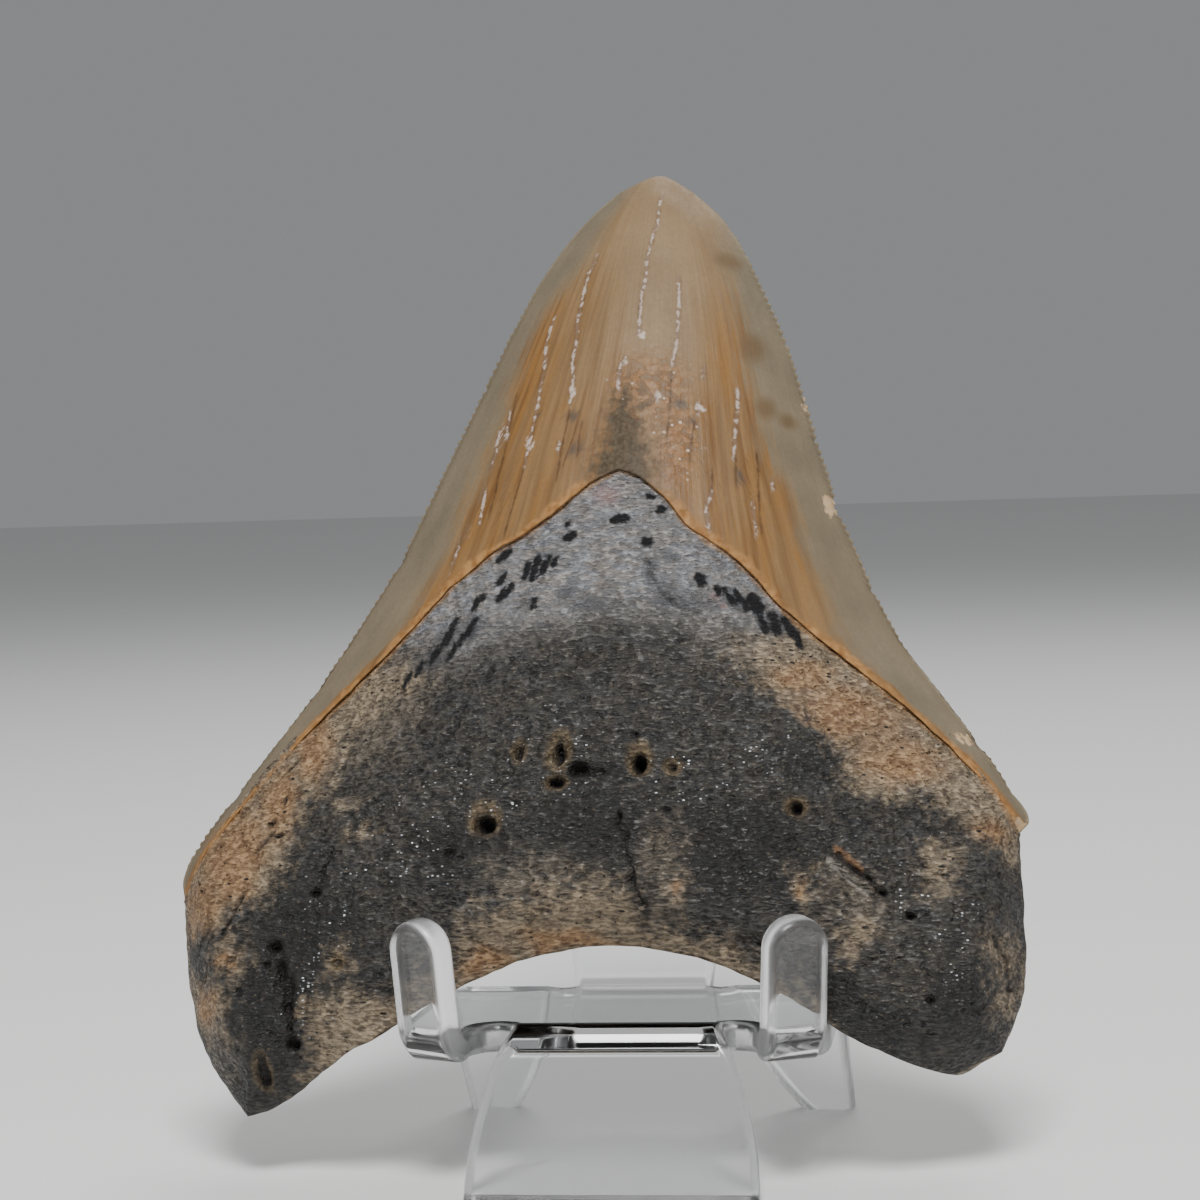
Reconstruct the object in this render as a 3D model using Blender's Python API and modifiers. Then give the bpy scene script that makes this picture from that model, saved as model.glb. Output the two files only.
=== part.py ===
"""A fossil megalodon tooth, leaning on the small clear stand that it is shown on.

Two pieces: the tooth, which grew as one, and the stand, one sheet of clear plastic that is
cut and bent. The tooth rests on the ledge of the stand, between two hooks and a back plate.

The front, where the hooks are, faces -Y. The tooth shows its lingual face to the front.
The origin is at the middle of the bottom of the whole object's box, on the ground.
"""

import math

import bmesh
import bpy
import numpy as np
from mathutils import Matrix, Vector

MM = 0.001

# Where the stand's own frame lies in the object's frame: its y = 0 is the front of the hooks.
STAND_TO_ORIGIN = Vector((2.955 * MM, -22.395 * MM, 0.0))

# ---- the stand's driving sizes, in mm ----
STAND_WIDTH = 44.0
SHEET = 3.2  # thickness of the plastic
LEDGE_TOP = 16.5  # height of the ledge's upper face
BEND_RADIUS = 2.6  # to the middle of the sheet
FRONT_BEND_Y = 6.7  # where the ledge ends and the front leg bends down
REAR_BEND_Y = 27.0  # where the ledge ends and the rear legs and back plate bend away
EDGE_ROUND = 0.5  # polished edges

LEG_SLANT = 24.0  # of the front leg from upright, in degrees
LEG_ROOT_HALF = 11.0  # half width of the front leg where it leaves the ledge
LEG_FLARE = [(0.8, LEG_ROOT_HALF), (4.0, 12.6), (9.0, 13.9), (14.0, 14.8), (22.0, 15.1)]
REAR_SLANT = 42.0  # of the rear legs from upright
REAR_SWEEP = [(1.6, 10.1), (7.0, 11.3), (13.0, 12.9), (18.2, 15.1), (20.6, 16.4), (26.0, 19.6)]
HOOK_TOP = 28.4  # height of the hooks
HOOK_INNER_X = 15.4  # x of the hook's inner edge where it leaves the ledge
HOOK_MIDDLE_X = 17.3  # x of the hook's middle where it bends up
HOOK_BEND_Y = 3.4  # y of the hook's bend line at the hook's middle
HOOK_LEAN = 6.0  # outward from upright
HOOK_SPLAY = 30.0  # how far each hook's face turns outward
BACK_LEAN = 5.0  # of the back plate from upright
BACK_TOP = 44.0  # height of the back plate
BACK_ROOT_HALF = 7.2  # half widths of the back plate at its root and its top
BACK_TOP_HALF = 11.0
BACK_CORNER = 5.0  # radius of the back plate's upper corners
BACK_FILLET = 1.4  # of the back plate where it leaves the ledge
SLIT = 0.6  # between the roots of two neighbouring tongues
PAST_GROUND = 2.0  # the legs are bent this much too long, then cut level

# Points across a hook or a rear leg, and across the front leg or the back plate.
SIDE_POINTS = 4
MIDDLE_POINTS = 5

# ---- the tooth's driving sizes, in mm, in its own frame: x across, v up along the tooth ----
TOOTH_LEAN = 22.0  # back from upright, in degrees
TOOTH_FOOT = (11.0, 16.6)  # y and z of its frame's origin, from the stand's own frame

LOBE_LEFT = (-39.5, -10.9)
LOBE_RIGHT = (39.2, -4.3)
GUM_LEFT = (-48.0, 12.4)
GUM_RIGHT = (41.5, 18.6)
TIP_LEFT = (-2.4, 94.9)
TIP_RIGHT = (6.4, 94.4)

ROOT_BASE = [LOBE_LEFT, (-36.4, -9.9), (-31.2, -7.0), (-26.2, -4.7), (-21.6, -2.0), (-15.6, 1.5),
             (-8.8, 4.3), (-1.0, 5.5), (6.8, 4.6), (13.8, 2.2), (20.2, -1.5), (24.6, -4.3),
             (29.5, -6.1), (34.6, -6.7), LOBE_RIGHT]
ROOT_SIDE_LEFT = [LOBE_LEFT, (-43.4, -6.0), (-45.9, -0.6), (-47.3, 6.0), GUM_LEFT]
ROOT_SIDE_RIGHT = [LOBE_RIGHT, (41.4, 1.0), (41.9, 7.0), (41.7, 13.0), GUM_RIGHT]
EDGE_LEFT = [GUM_LEFT, (-48.3, 15.3), (-46.0, 20.2), (-37.1, 32.6), (-31.3, 41.6), (-26.3, 50.5),
             (-22.1, 60.2), (-18.0, 69.7), (-14.3, 78.2), (-10.3, 85.7), (-6.2, 91.3), TIP_LEFT]
EDGE_RIGHT = [GUM_RIGHT, (42.5, 20.6), (38.9, 26.7), (34.2, 33.4), (29.5, 40.2), (25.3, 49.4),
              (22.0, 58.8), (19.3, 68.3), (16.6, 76.9), (13.3, 84.7), (9.9, 90.7), TIP_RIGHT]
TIP_ARC = [TIP_LEFT, (2.3, 96.8), TIP_RIGHT]
GUM_LINGUAL = [GUM_LEFT, (-37.0, 26.9), (-25.1, 38.1), (-16.6, 46.3), (-9.5, 50.4), (-3.4, 55.2),
               (0.5, 56.9), (4.2, 54.2), (7.8, 49.9), (13.0, 46.0), (17.8, 40.8), (26.3, 34.2),
               (36.0, 25.7), GUM_RIGHT]
GUM_LABIAL = [GUM_LEFT, (-33.0, 24.0), (-15.0, 33.0), (-1.0, 35.5), (14.0, 34.5), (30.0, 27.5),
              GUM_RIGHT]

# How far each face stands from the plane of the cutting edges: height v, middle, rim.
LINGUAL = [(-12, 7.5, 5.5), (0, 9.6, 7.0), (6, 11.0, 6.2), (12, 12.6, 4.8), (20, 14.2, 2.2),
           (28, 14.6, 0.9), (36, 13.4, 0.6), (44, 11.9, 0.5), (52, 10.7, 0.5), (60, 9.5, 0.5),
           (70, 7.8, 0.5), (80, 5.8, 0.5), (88, 4.0, 0.5), (94, 2.3, 0.4), (98, 1.0, 0.3)]
LABIAL = [(-12, 5.0, 5.0), (0, 6.6, 5.6), (10, 7.4, 5.0), (20, 7.6, 2.2), (30, 7.0, 0.9),
          (40, 6.0, 0.6), (50, 5.2, 0.5), (60, 4.5, 0.5), (70, 3.8, 0.5), (80, 3.0, 0.5),
          (90, 2.0, 0.4), (98, 0.8, 0.3)]
ROUNDING = [(-12, 5.0), (6, 6.0), (14, 4.5), (22, 1.8), (30, 0.9), (98, 0.7)]
BASE_RIM = 6.5  # the arch's lower rim stands this far to the front of the cutting plane
BASE_REACH = 9.0  # and its underside runs this far up to the labial face
ENAMEL_STEP = 0.45  # the enamel stands proud of the root along the gum line
LINGUAL_SWELL = 2.0  # power of the curve across each face: the labial face is the flatter one
LABIAL_SWELL = 2.8
ARCH_HALF = (26.0, 36.0)  # the arch's underside fades out between these distances from x = 0
ARCH_RISE = (9.0, 18.0)  # and between these heights

COLUMNS = 32
ROOT_ROWS = 14
CROWN_ROWS = 24
FIRST_CROWN_ROW = 0.015  # share of the crown's height where the enamel's step ends
EDGE_COLUMN = 1.1  # mm from the cutting edge to the first column
SERRATIONS_PER_ROW = 4
SERRATION_DEPTH = 0.34

# Foramina and pits that show from a step away: x, v, radius, in mm.
PITS = [(-12.9, 17.5, 1.1), (-5.2, 24.5, 0.8), (-3.0, 22.7, 0.9), (3.1, 23.4, 1.1),
        (19.0, 19.0, 0.8), (-36.1, -6.6, 0.9)]
PIT_DEPTH = 2.4


def clear_scene():
    for thing in list(bpy.data.objects):
        bpy.data.objects.remove(thing, do_unlink=True)


def new_collection(name):
    collection = bpy.data.collections.new(name)
    bpy.context.scene.collection.children.link(collection)
    return collection


def finish(name, color, roughness, transmission=0.0):
    material = bpy.data.materials.new(name)
    material.use_nodes = True
    shader = material.node_tree.nodes["Principled BSDF"]
    shader.inputs["Base Color"].default_value = (*color, 1.0)
    shader.inputs["Roughness"].default_value = roughness
    shader.inputs["Transmission Weight"].default_value = transmission
    shader.inputs["IOR"].default_value = 1.49
    material.diffuse_color = (*color, 1.0)
    return material


# ---------------------------------------------------------------- curves and profiles


def curve_through(points, samples=24):
    """A smooth curve through points, as a function of the share of its length, 0 to 1."""
    p = np.array(points, float)
    p = np.vstack([2 * p[0] - p[1], p, 2 * p[-1] - p[-2]])
    t = np.linspace(0.0, 1.0, samples, endpoint=False)[:, None]
    runs = [0.5 * (2 * b + (c - a) * t + (2 * a - 5 * b + 4 * c - d) * t**2
                   + (3 * b - a - 3 * c + d) * t**3)
            for a, b, c, d in zip(p, p[1:], p[2:], p[3:])]
    dense = np.vstack(runs + [p[-2:-1]])
    length = np.concatenate([[0.0], np.cumsum(np.linalg.norm(np.diff(dense, axis=0), axis=1))])

    def at(share):
        where = np.asarray(share, float) * length[-1]
        return np.stack([np.interp(where, length, dense[:, k]) for k in (0, 1)], axis=-1)

    at.length = length[-1]
    return at


def profile(table, column):
    """Reads one column of a table of sizes against height."""
    heights = [row[0] for row in table]
    values = [row[column] for row in table]
    return lambda v: np.interp(v, heights, values)


def smoothstep(low, high, value):
    t = np.clip((value - low) / (high - low), 0.0, 1.0)
    return t * t * (3.0 - 2.0 * t)


# ---------------------------------------------------------------- the tooth


def patch(base, top, left, right, shares_up, edge_shares):
    """A grid of points between four curves; edge_shares sets the first column of each row."""
    rows = []
    for q, e in zip(shares_up, edge_shares):
        u = np.concatenate([[0.0], np.linspace(e, 1.0 - e, COLUMNS - 1), [1.0]])
        uu = u[:, None]
        corners = ((1 - uu) * (1 - q) * base(0.0) + uu * (1 - q) * base(1.0)
                   + (1 - uu) * q * top(0.0) + uu * q * top(1.0))
        rows.append((1 - q) * base(u) + q * top(u) + (1 - uu) * left(q) + uu * right(q) - corners)
    return np.array(rows)


def face_heights(grid, outline, sides, table, sign):
    """How far a face stands from the cutting plane at each point of its grid, toward the front."""
    x, v = grid[..., 0], grid[..., 1]
    gap = np.linalg.norm(grid[..., None, :] - outline, axis=-1).min(axis=-1)
    left_x, right_x = sides[0](v), sides[1](v)
    across = np.clip(np.abs(2 * (x - left_x) / (right_x - left_x) - 1), 0.0, 1.0)
    power = LINGUAL_SWELL if sign > 0 else LABIAL_SWELL
    middle, rim = profile(table, 1)(v), profile(table, 2)(v)
    plateau = sign * (rim + (middle - rim) * (1 - across**power))
    under = (1 - smoothstep(*ARCH_HALF, np.abs(x))) * (1 - smoothstep(*ARCH_RISE, v))
    reach = profile(ROUNDING, 1)(v)
    if sign < 0:
        reach = reach + (BASE_REACH - reach) * under
    rise = np.sin(np.pi / 2 * np.clip(gap / reach, 0.0, 1.0))
    return BASE_RIM * under * (1 - rise) + plateau * rise


def side_at(points):
    """x of one side of the tooth at a height v."""
    dense = curve_through(points)(np.linspace(0, 1, 200))
    order = np.argsort(dense[:, 1])
    return lambda v: np.interp(v, dense[order, 1], dense[order, 0])


def tooth_face(gum, table, sign, outline, sides):
    """The rows of points of one face, from the base of the root to the tip, as x, v, w."""
    gum_line, base = curve_through(gum), curve_through(ROOT_BASE)
    edge_left, edge_right = curve_through(EDGE_LEFT), curve_through(EDGE_RIGHT)
    rounded = [0.0, 0.03, 0.08]  # closer rows where the root's base rounds over
    root_up = np.concatenate([rounded, np.linspace(0.15, 1.0, ROOT_ROWS - 2)])
    crown_up = np.concatenate([[FIRST_CROWN_ROW], np.linspace(1 / CROWN_ROWS, 1.0, CROWN_ROWS)])
    root = patch(base, gum_line, curve_through(ROOT_SIDE_LEFT), curve_through(ROOT_SIDE_RIGHT),
                 root_up, np.full(len(root_up), EDGE_COLUMN / gum_line.length))
    widths = gum_line.length * (1 - crown_up) + curve_through(TIP_ARC).length * crown_up
    crown = patch(gum_line, curve_through(TIP_ARC), edge_left, edge_right,
                  crown_up, np.minimum(EDGE_COLUMN / widths, 0.6 / COLUMNS))
    grid = np.concatenate([root, crown])
    height = face_heights(grid, outline, sides, table, sign)
    inside = np.ones(COLUMNS + 1)
    inside[[0, -1]] = 0.0
    height[len(root):-1] += sign * ENAMEL_STEP * inside
    height[-1] = 0.0
    return np.dstack([grid, height]), len(root)


def serrated(low, high, outward):
    """The small teeth of the cutting edge between two of its points."""
    count = 2 * SERRATIONS_PER_ROW
    points = []
    for k in range(1, count):
        depth = SERRATION_DEPTH if k % 2 else 0.0
        points.append(low.lerp(high, k / count) - outward * depth * MM)
    return points


def fan(mesh, low, high, run, middle, turn):
    """Joins two points of the first column to the run of points of the cutting edge."""
    rings = [(low, a, b) for a, b in zip(run[:middle + 1], run[1:middle + 1])]
    rings += [(low, run[middle], high)]
    rings += [(high, a, b) for a, b in zip(run[middle:], run[middle + 1:])]
    for ring in rings:
        mesh.faces.new(ring[::turn])


def make_tooth(collection, material):
    sides = (side_at(ROOT_SIDE_LEFT + EDGE_LEFT[1:]), side_at(ROOT_SIDE_RIGHT + EDGE_RIGHT[1:]))
    rim = [ROOT_BASE, ROOT_SIDE_LEFT, ROOT_SIDE_RIGHT, EDGE_LEFT, EDGE_RIGHT, TIP_ARC]
    outline = np.vstack([curve_through(line)(np.linspace(0, 1, 160)) for line in rim])
    front, gum_row = tooth_face(GUM_LINGUAL, LINGUAL, 1, outline, sides)
    back, _ = tooth_face(GUM_LABIAL, LABIAL, -1, outline, sides)

    mesh = bmesh.new()

    def corner(point):
        x, v, w = point
        return mesh.verts.new((x * MM, -w * MM, v * MM))

    rows = len(front)
    shared = {(j, i) for j in range(rows) for i in (0, COLUMNS)}
    shared |= {(j, i) for j in (0, rows - 1) for i in range(COLUMNS + 1)}
    ahead = [[corner(front[j, i]) for i in range(COLUMNS + 1)] for j in range(rows)]
    behind = [[ahead[j][i] if (j, i) in shared else corner(back[j, i])
               for i in range(COLUMNS + 1)] for j in range(rows)]

    fringe = {}
    for i, way in ((0, -1.0), (COLUMNS, 1.0)):
        for j in range(gum_row + 2, rows - 5):
            low, high = ahead[j][i].co, ahead[j + 1][i].co
            along = (high - low).normalized()
            outward = Vector((along.z, 0.0, -along.x)) * way
            fringe[j, i] = [mesh.verts.new(p) for p in serrated(low, high, outward)]

    for net, turn in ((ahead, 1), (behind, -1)):
        for j in range(rows - 1):
            for i in range(1, COLUMNS - 1):
                ring = [net[j][i], net[j][i + 1], net[j + 1][i + 1], net[j + 1][i]]
                mesh.faces.new(ring[::turn])
            for edge, inner, way in ((0, 1, -1), (COLUMNS, COLUMNS - 1, 1)):
                run = [net[j][edge]] + fringe.get((j, edge), []) + [net[j + 1][edge]]
                middle = 0 if j == 0 else len(run) // 2
                fan(mesh, net[j][inner], net[j + 1][inner], run, middle, turn * way)
    bmesh.ops.triangulate(mesh, faces=mesh.faces[:])

    data = bpy.data.meshes.new("tooth")
    mesh.to_mesh(data)
    mesh.free()
    tooth = bpy.data.objects.new("tooth", data)
    collection.objects.link(tooth)
    tooth.data.materials.append(material)
    tooth.data.shade_smooth()
    tooth.location = STAND_TO_ORIGIN + Vector((0, *TOOTH_FOOT)) * MM
    tooth.rotation_euler = (-math.radians(TOOTH_LEAN), 0, 0)
    return tooth, front


def pit_depth_at(front, x, v):
    """How far the lingual face stands out at a place."""
    flat = front.reshape(-1, 3)
    near = np.argsort(np.hypot(flat[:, 0] - x, flat[:, 1] - v))[:4]
    return flat[near, 2].mean()


def cut_pits(tooth, front, cutters):
    """The larger foramina, each a blunt cone sunk in the lingual face."""
    joined = bmesh.new()
    for x, v, radius in PITS:
        w = pit_depth_at(front, x, v)
        place = Matrix.Translation(Vector((x, -w, v)) * MM) @ Matrix.Rotation(math.radians(90), 4, "X")
        bmesh.ops.create_cone(joined, cap_ends=True, segments=8, radius1=0.5 * radius * MM,
                              radius2=1.5 * radius * MM, depth=2 * PIT_DEPTH * MM, matrix=place)
    data = bpy.data.meshes.new("pit_cutters")
    joined.to_mesh(data)
    joined.free()
    cutter = bpy.data.objects.new("pit_cutters", data)
    cutters.objects.link(cutter)
    cutter.matrix_world = tooth.matrix_basis
    cutter.hide_render = True
    cutter.display_type = "WIRE"
    cut = tooth.modifiers.new("pits", "BOOLEAN")
    cut.operation = "DIFFERENCE"
    cut.object = cutter


# ---------------------------------------------------------------- the stand


def bent(past, angle):
    """How far forward and how far up a bend carries a point that lies past its line."""
    arc = BEND_RADIUS * angle
    turned = min(max(past, 0.0), arc) / BEND_RADIUS
    reach = min(past, 0.0) + BEND_RADIUS * math.sin(turned) + max(past - arc, 0.0) * math.cos(angle)
    rise = BEND_RADIUS * (1 - math.cos(turned)) + max(past - arc, 0.0) * math.sin(angle)
    return reach, rise


def straight_tongue(line_y, way, angle, upward):
    """A tongue whose bend line runs straight across the stand."""
    def shape(x, t):
        reach, rise = bent(t, angle)
        return Vector((x, line_y + way * reach, upward * rise))
    return shape


def splayed_tongue(side, root_middle, angle):
    """A hook: its rows turn outward step by step until they lie along its own bend line."""
    flat = FRONT_BEND_Y - HOOK_BEND_Y
    splay = math.radians(HOOK_SPLAY)

    def shape(x, t):
        share = smoothstep(0.0, flat + BEND_RADIUS, t)
        turn = splay * share
        middle = root_middle + (HOOK_MIDDLE_X - root_middle) * share
        out = side * x - root_middle
        reach, rise = bent(t - flat, angle)
        ahead = max(reach, 0.0)
        y = HOOK_BEND_Y - min(reach, 0.0) + out * math.sin(turn) - ahead * math.cos(splay)
        return Vector((side * (middle + out * math.cos(turn) + ahead * math.sin(splay)), y, rise))

    return shape


def tongue(mesh, start_row, lengths, span, shape):
    """Rows of the sheet from the row that it leaves the ledge at; span gives x of both edges."""
    above = start_row
    count = len(start_row)
    for t in lengths:
        low, high = span(t)
        row = [mesh.verts.new(shape(low + (high - low) * k / (count - 1), t)) for k in range(count)]
        for a, b, c, d in zip(above, above[1:], row[1:], row):
            mesh.faces.new((a, b, c, d))
        above = row


def rounded_run(reach, round_length, steps, end):
    """Stations along a tongue: close together in its first stretch, then even, then the end."""
    first = [round_length * (1 - math.cos(math.pi / 2 * k / steps)) for k in range(1, steps + 1)]
    return first + list(np.linspace(round_length, reach, end + 1)[1:])


def hook_span(length, side):
    """The hook's edges: a wide root, a straight inner edge, and a round top."""
    fillet = HOOK_INNER_X - LEG_ROOT_HALF - SLIT
    half = (STAND_WIDTH / 2 - HOOK_INNER_X) / 2
    blunt = 0.96  # the end stops just short of a point

    def span(t):
        sunk = 1 - min(1.0, t / fillet)
        inner = HOOK_INNER_X - fillet * (1 - math.sqrt(1 - sunk**2))
        outer = STAND_WIDTH / 2
        to_end = max(length - t, 0.0)
        if to_end < half:
            shrink = half * (1 - math.sqrt(1 - (1 - to_end / half) ** 2)) * blunt
            inner, outer = inner + shrink, outer - shrink
        return (inner, outer) if side > 0 else (-outer, -inner)

    return span


def round_top(length, half, steps):
    """Stations that follow a round end."""
    return [length - half * (1 - math.sin(math.pi / 2 * k / steps)) for k in range(1, steps + 1)]


def across(inner, outer):
    """Positions across one end of the ledge: a side strip, the middle strip, a side strip."""
    side = list(np.linspace(inner, outer, SIDE_POINTS))
    middle = list(np.linspace(-inner, inner, MIDDLE_POINTS)[1:-1])
    return [-x for x in reversed(side)] + middle + side


def make_sheet():
    """The middle surface of the stand: the ledge, and six tongues that bend away from it."""
    mesh = bmesh.new()
    root = LEG_ROOT_HALF + SLIT
    notch = BACK_ROOT_HALF + BACK_FILLET
    half = STAND_WIDTH / 2
    front_x, rear_x = across(root, half), across(notch, half)
    rows = []
    for share in (0.0, 0.5, 1.0):
        y = FRONT_BEND_Y + (REAR_BEND_Y - FRONT_BEND_Y) * share
        rows.append([mesh.verts.new((a + (b - a) * share, y, 0.0)) for a, b in zip(front_x, rear_x)])
    for low, high in zip(rows, rows[1:]):
        for a, b, c, d in zip(low, low[1:], high[1:], high):
            mesh.faces.new((a, b, c, d))
    front, rear = rows[0], rows[-1]
    middle = slice(SIDE_POINTS - 1, 1 - SIDE_POINTS)

    hook_angle = math.radians(90 - HOOK_LEAN)
    arc_top = BEND_RADIUS * (1 - math.cos(hook_angle)) + LEDGE_TOP - SHEET / 2
    straight = (HOOK_TOP - arc_top) / math.sin(hook_angle)
    hook_length = FRONT_BEND_Y - HOOK_BEND_Y + BEND_RADIUS * hook_angle + straight
    top_half = (half - HOOK_INNER_X) / 2
    fillet = HOOK_INNER_X - root
    for side, start in ((-1, front[:SIDE_POINTS]), (1, front[-SIDE_POINTS:])):
        stations = rounded_run(hook_length - top_half, fillet, 4, 12)
        stations += round_top(hook_length, top_half, 5)
        tongue(mesh, start, stations, hook_span(hook_length, side),
               splayed_tongue(side, (half + HOOK_INNER_X) / 2, hook_angle))

    down = math.radians(90 - LEG_SLANT)
    leg_length = BEND_RADIUS * down + (LEDGE_TOP + PAST_GROUND) / math.sin(down)
    flare = curve_through([(0.0, root)] + LEG_FLARE)(np.linspace(0, 1, 60))

    def leg_span(t):
        wide = float(np.interp(t, flare[:, 0], flare[:, 1]))
        return -wide, wide

    tongue(mesh, front[middle], rounded_run(leg_length, 4.0, 6, 7), leg_span,
           straight_tongue(FRONT_BEND_Y, -1, down, -1))

    back_angle = math.radians(90 - BACK_LEAN)
    back_length = BEND_RADIUS * back_angle + (BACK_TOP - LEDGE_TOP) / math.sin(back_angle)

    def back_span(t):
        wide = BACK_ROOT_HALF + (BACK_TOP_HALF - BACK_ROOT_HALF) * t / back_length
        wide += BACK_FILLET * (1 - smoothstep(0.0, BACK_FILLET, t))
        to_end = back_length - t
        if to_end < BACK_CORNER:
            wide -= BACK_CORNER * (1 - math.sqrt(1 - (1 - to_end / BACK_CORNER) ** 2))
        return -wide, wide

    tongue(mesh, rear[middle], rounded_run(back_length - BACK_CORNER, 4.0, 6, 4)
           + round_top(back_length, BACK_CORNER, 4), back_span,
           straight_tongue(REAR_BEND_Y, 1, back_angle, 1))

    away = math.radians(90 - REAR_SLANT)
    rear_length = BEND_RADIUS * away + (LEDGE_TOP + PAST_GROUND / 2) / math.sin(away)
    sweep = curve_through([(0.0, notch)] + REAR_SWEEP)(np.linspace(0, 1, 80))

    def rear_span(side):
        def span(t):
            inner = float(np.interp(t, sweep[:, 0], sweep[:, 1]))
            return (inner, half) if side > 0 else (-half, -inner)
        return span

    for side, start in ((-1, rear[:SIDE_POINTS]), (1, rear[-SIDE_POINTS:])):
        tongue(mesh, start, rounded_run(rear_length, 4.0, 6, 10), rear_span(side),
               straight_tongue(REAR_BEND_Y, 1, away, -1))
    bmesh.ops.scale(mesh, vec=(MM, MM, MM), verts=mesh.verts[:])
    bmesh.ops.recalc_face_normals(mesh, faces=mesh.faces[:])
    return mesh


def make_stand(collection, cutters, material):
    sheet = make_sheet()
    data = bpy.data.meshes.new("display_stand")
    sheet.to_mesh(data)
    sheet.free()
    stand = bpy.data.objects.new("display_stand", data)
    collection.objects.link(stand)
    stand.data.materials.append(material)
    stand.location = STAND_TO_ORIGIN + Vector((0, 0, (LEDGE_TOP - SHEET / 2) * MM))
    wall = stand.modifiers.new("sheet", "SOLIDIFY")
    wall.thickness = SHEET * MM
    wall.offset = 0.0
    wall.use_even_offset = True

    bpy.ops.mesh.primitive_cube_add(size=1.0)
    ground = bpy.context.object
    ground.name = "ground_cutter"
    ground.scale = (STAND_WIDTH * 2 * MM, 90 * MM, 10 * MM)
    ground.location = STAND_TO_ORIGIN + Vector((0, 20 * MM, -5 * MM))
    for owner in list(ground.users_collection):
        owner.objects.unlink(ground)
    cutters.objects.link(ground)
    ground.hide_render = True
    ground.display_type = "WIRE"
    level = stand.modifiers.new("level_feet", "BOOLEAN")
    level.operation = "DIFFERENCE"
    level.object = ground
    edge = stand.modifiers.new("polished_edges", "BEVEL")
    edge.width = EDGE_ROUND * MM
    edge.segments = 1
    edge.limit_method = "ANGLE"
    edge.angle_limit = math.radians(50)
    return stand


def main():
    clear_scene()
    pieces = new_collection("megalodon_tooth")
    cutters = new_collection("cutters")
    fossil = finish("fossil", (0.23, 0.17, 0.11), 0.45)
    clear = finish("clear_plastic", (0.95, 0.97, 0.98), 0.05, transmission=1.0)
    tooth, front = make_tooth(pieces, fossil)
    cut_pits(tooth, front, cutters)
    make_stand(pieces, cutters, clear)


main()
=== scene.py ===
# %% [markdown]
# # A fossil shark tooth on a clear stand
# This notebook builds the looks of a megalodon tooth that leans on a small easel of bent
# clear plastic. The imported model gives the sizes; here the same forms are made again with a
# finer surface, and get their finish: glossy enamel, porous root, clear plastic.

# %% Load the frame
import math

import bmesh
import bpy
import numpy as np
from mathutils import Matrix, Vector


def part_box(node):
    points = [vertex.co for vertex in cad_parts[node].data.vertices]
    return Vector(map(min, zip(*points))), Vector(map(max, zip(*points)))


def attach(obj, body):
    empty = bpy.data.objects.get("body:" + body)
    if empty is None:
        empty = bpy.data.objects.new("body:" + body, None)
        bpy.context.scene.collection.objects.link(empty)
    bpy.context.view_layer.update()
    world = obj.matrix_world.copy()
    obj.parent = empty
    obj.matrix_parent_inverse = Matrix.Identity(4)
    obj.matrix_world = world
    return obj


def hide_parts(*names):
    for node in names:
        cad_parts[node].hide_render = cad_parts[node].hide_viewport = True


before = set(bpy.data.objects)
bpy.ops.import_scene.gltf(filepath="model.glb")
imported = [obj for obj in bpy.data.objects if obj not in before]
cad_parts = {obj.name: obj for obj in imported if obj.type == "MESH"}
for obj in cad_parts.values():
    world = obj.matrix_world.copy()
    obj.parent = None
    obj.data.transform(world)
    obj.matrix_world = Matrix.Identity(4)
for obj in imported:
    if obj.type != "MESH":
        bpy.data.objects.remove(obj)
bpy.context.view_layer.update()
MM = 0.001

# %% [markdown]
# ## Helpers for sheets of points
# A grown tooth has no straight edge to extrude or spin, so its faces can't be drawn with a few
# operators. Each face starts as a grid primitive instead, and code moves the points of the grid
# to where the surface is. Two or more such sheets are then welded along their shared edges.

# %% A grid whose points are moved
WELD_GAP = 0.001  # mm


def grid_sheet(name, points):
    """A grid primitive with its points moved to an array of rows, columns and x, y, z in metres."""
    rows, columns = points.shape[:2]
    bpy.ops.object.select_all(action="DESELECT")
    bpy.ops.mesh.primitive_grid_add(x_subdivisions=columns - 1, y_subdivisions=rows - 1, size=1.0)
    sheet = bpy.context.object
    sheet.name = name
    sheet.data.vertices.foreach_set("co", points.astype(np.float32).ravel())
    sheet.data.update()
    return sheet


def weld(name, sheets):
    """Joins sheets into one piece, merges the points they share and turns its faces outwards."""
    bpy.ops.object.select_all(action="DESELECT")
    for sheet in sheets:
        sheet.select_set(True)
    bpy.context.view_layer.objects.active = sheets[0]
    bpy.ops.object.join()
    piece = bpy.context.object
    piece.name = piece.data.name = name
    bpy.ops.object.mode_set(mode="EDIT")
    bpy.ops.mesh.select_all(action="SELECT")
    bpy.ops.mesh.remove_doubles(threshold=WELD_GAP * MM)
    bpy.ops.mesh.dissolve_degenerate(threshold=WELD_GAP * MM / 4)
    bpy.ops.mesh.normals_make_consistent(inside=False)
    bpy.ops.object.mode_set(mode="OBJECT")
    bpy.ops.object.shade_smooth()
    print(name, len(piece.data.polygons), "faces")
    return piece


# %% Curves and smooth tables
CURVE_STEPS = 24  # points drawn between two given ones


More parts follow.
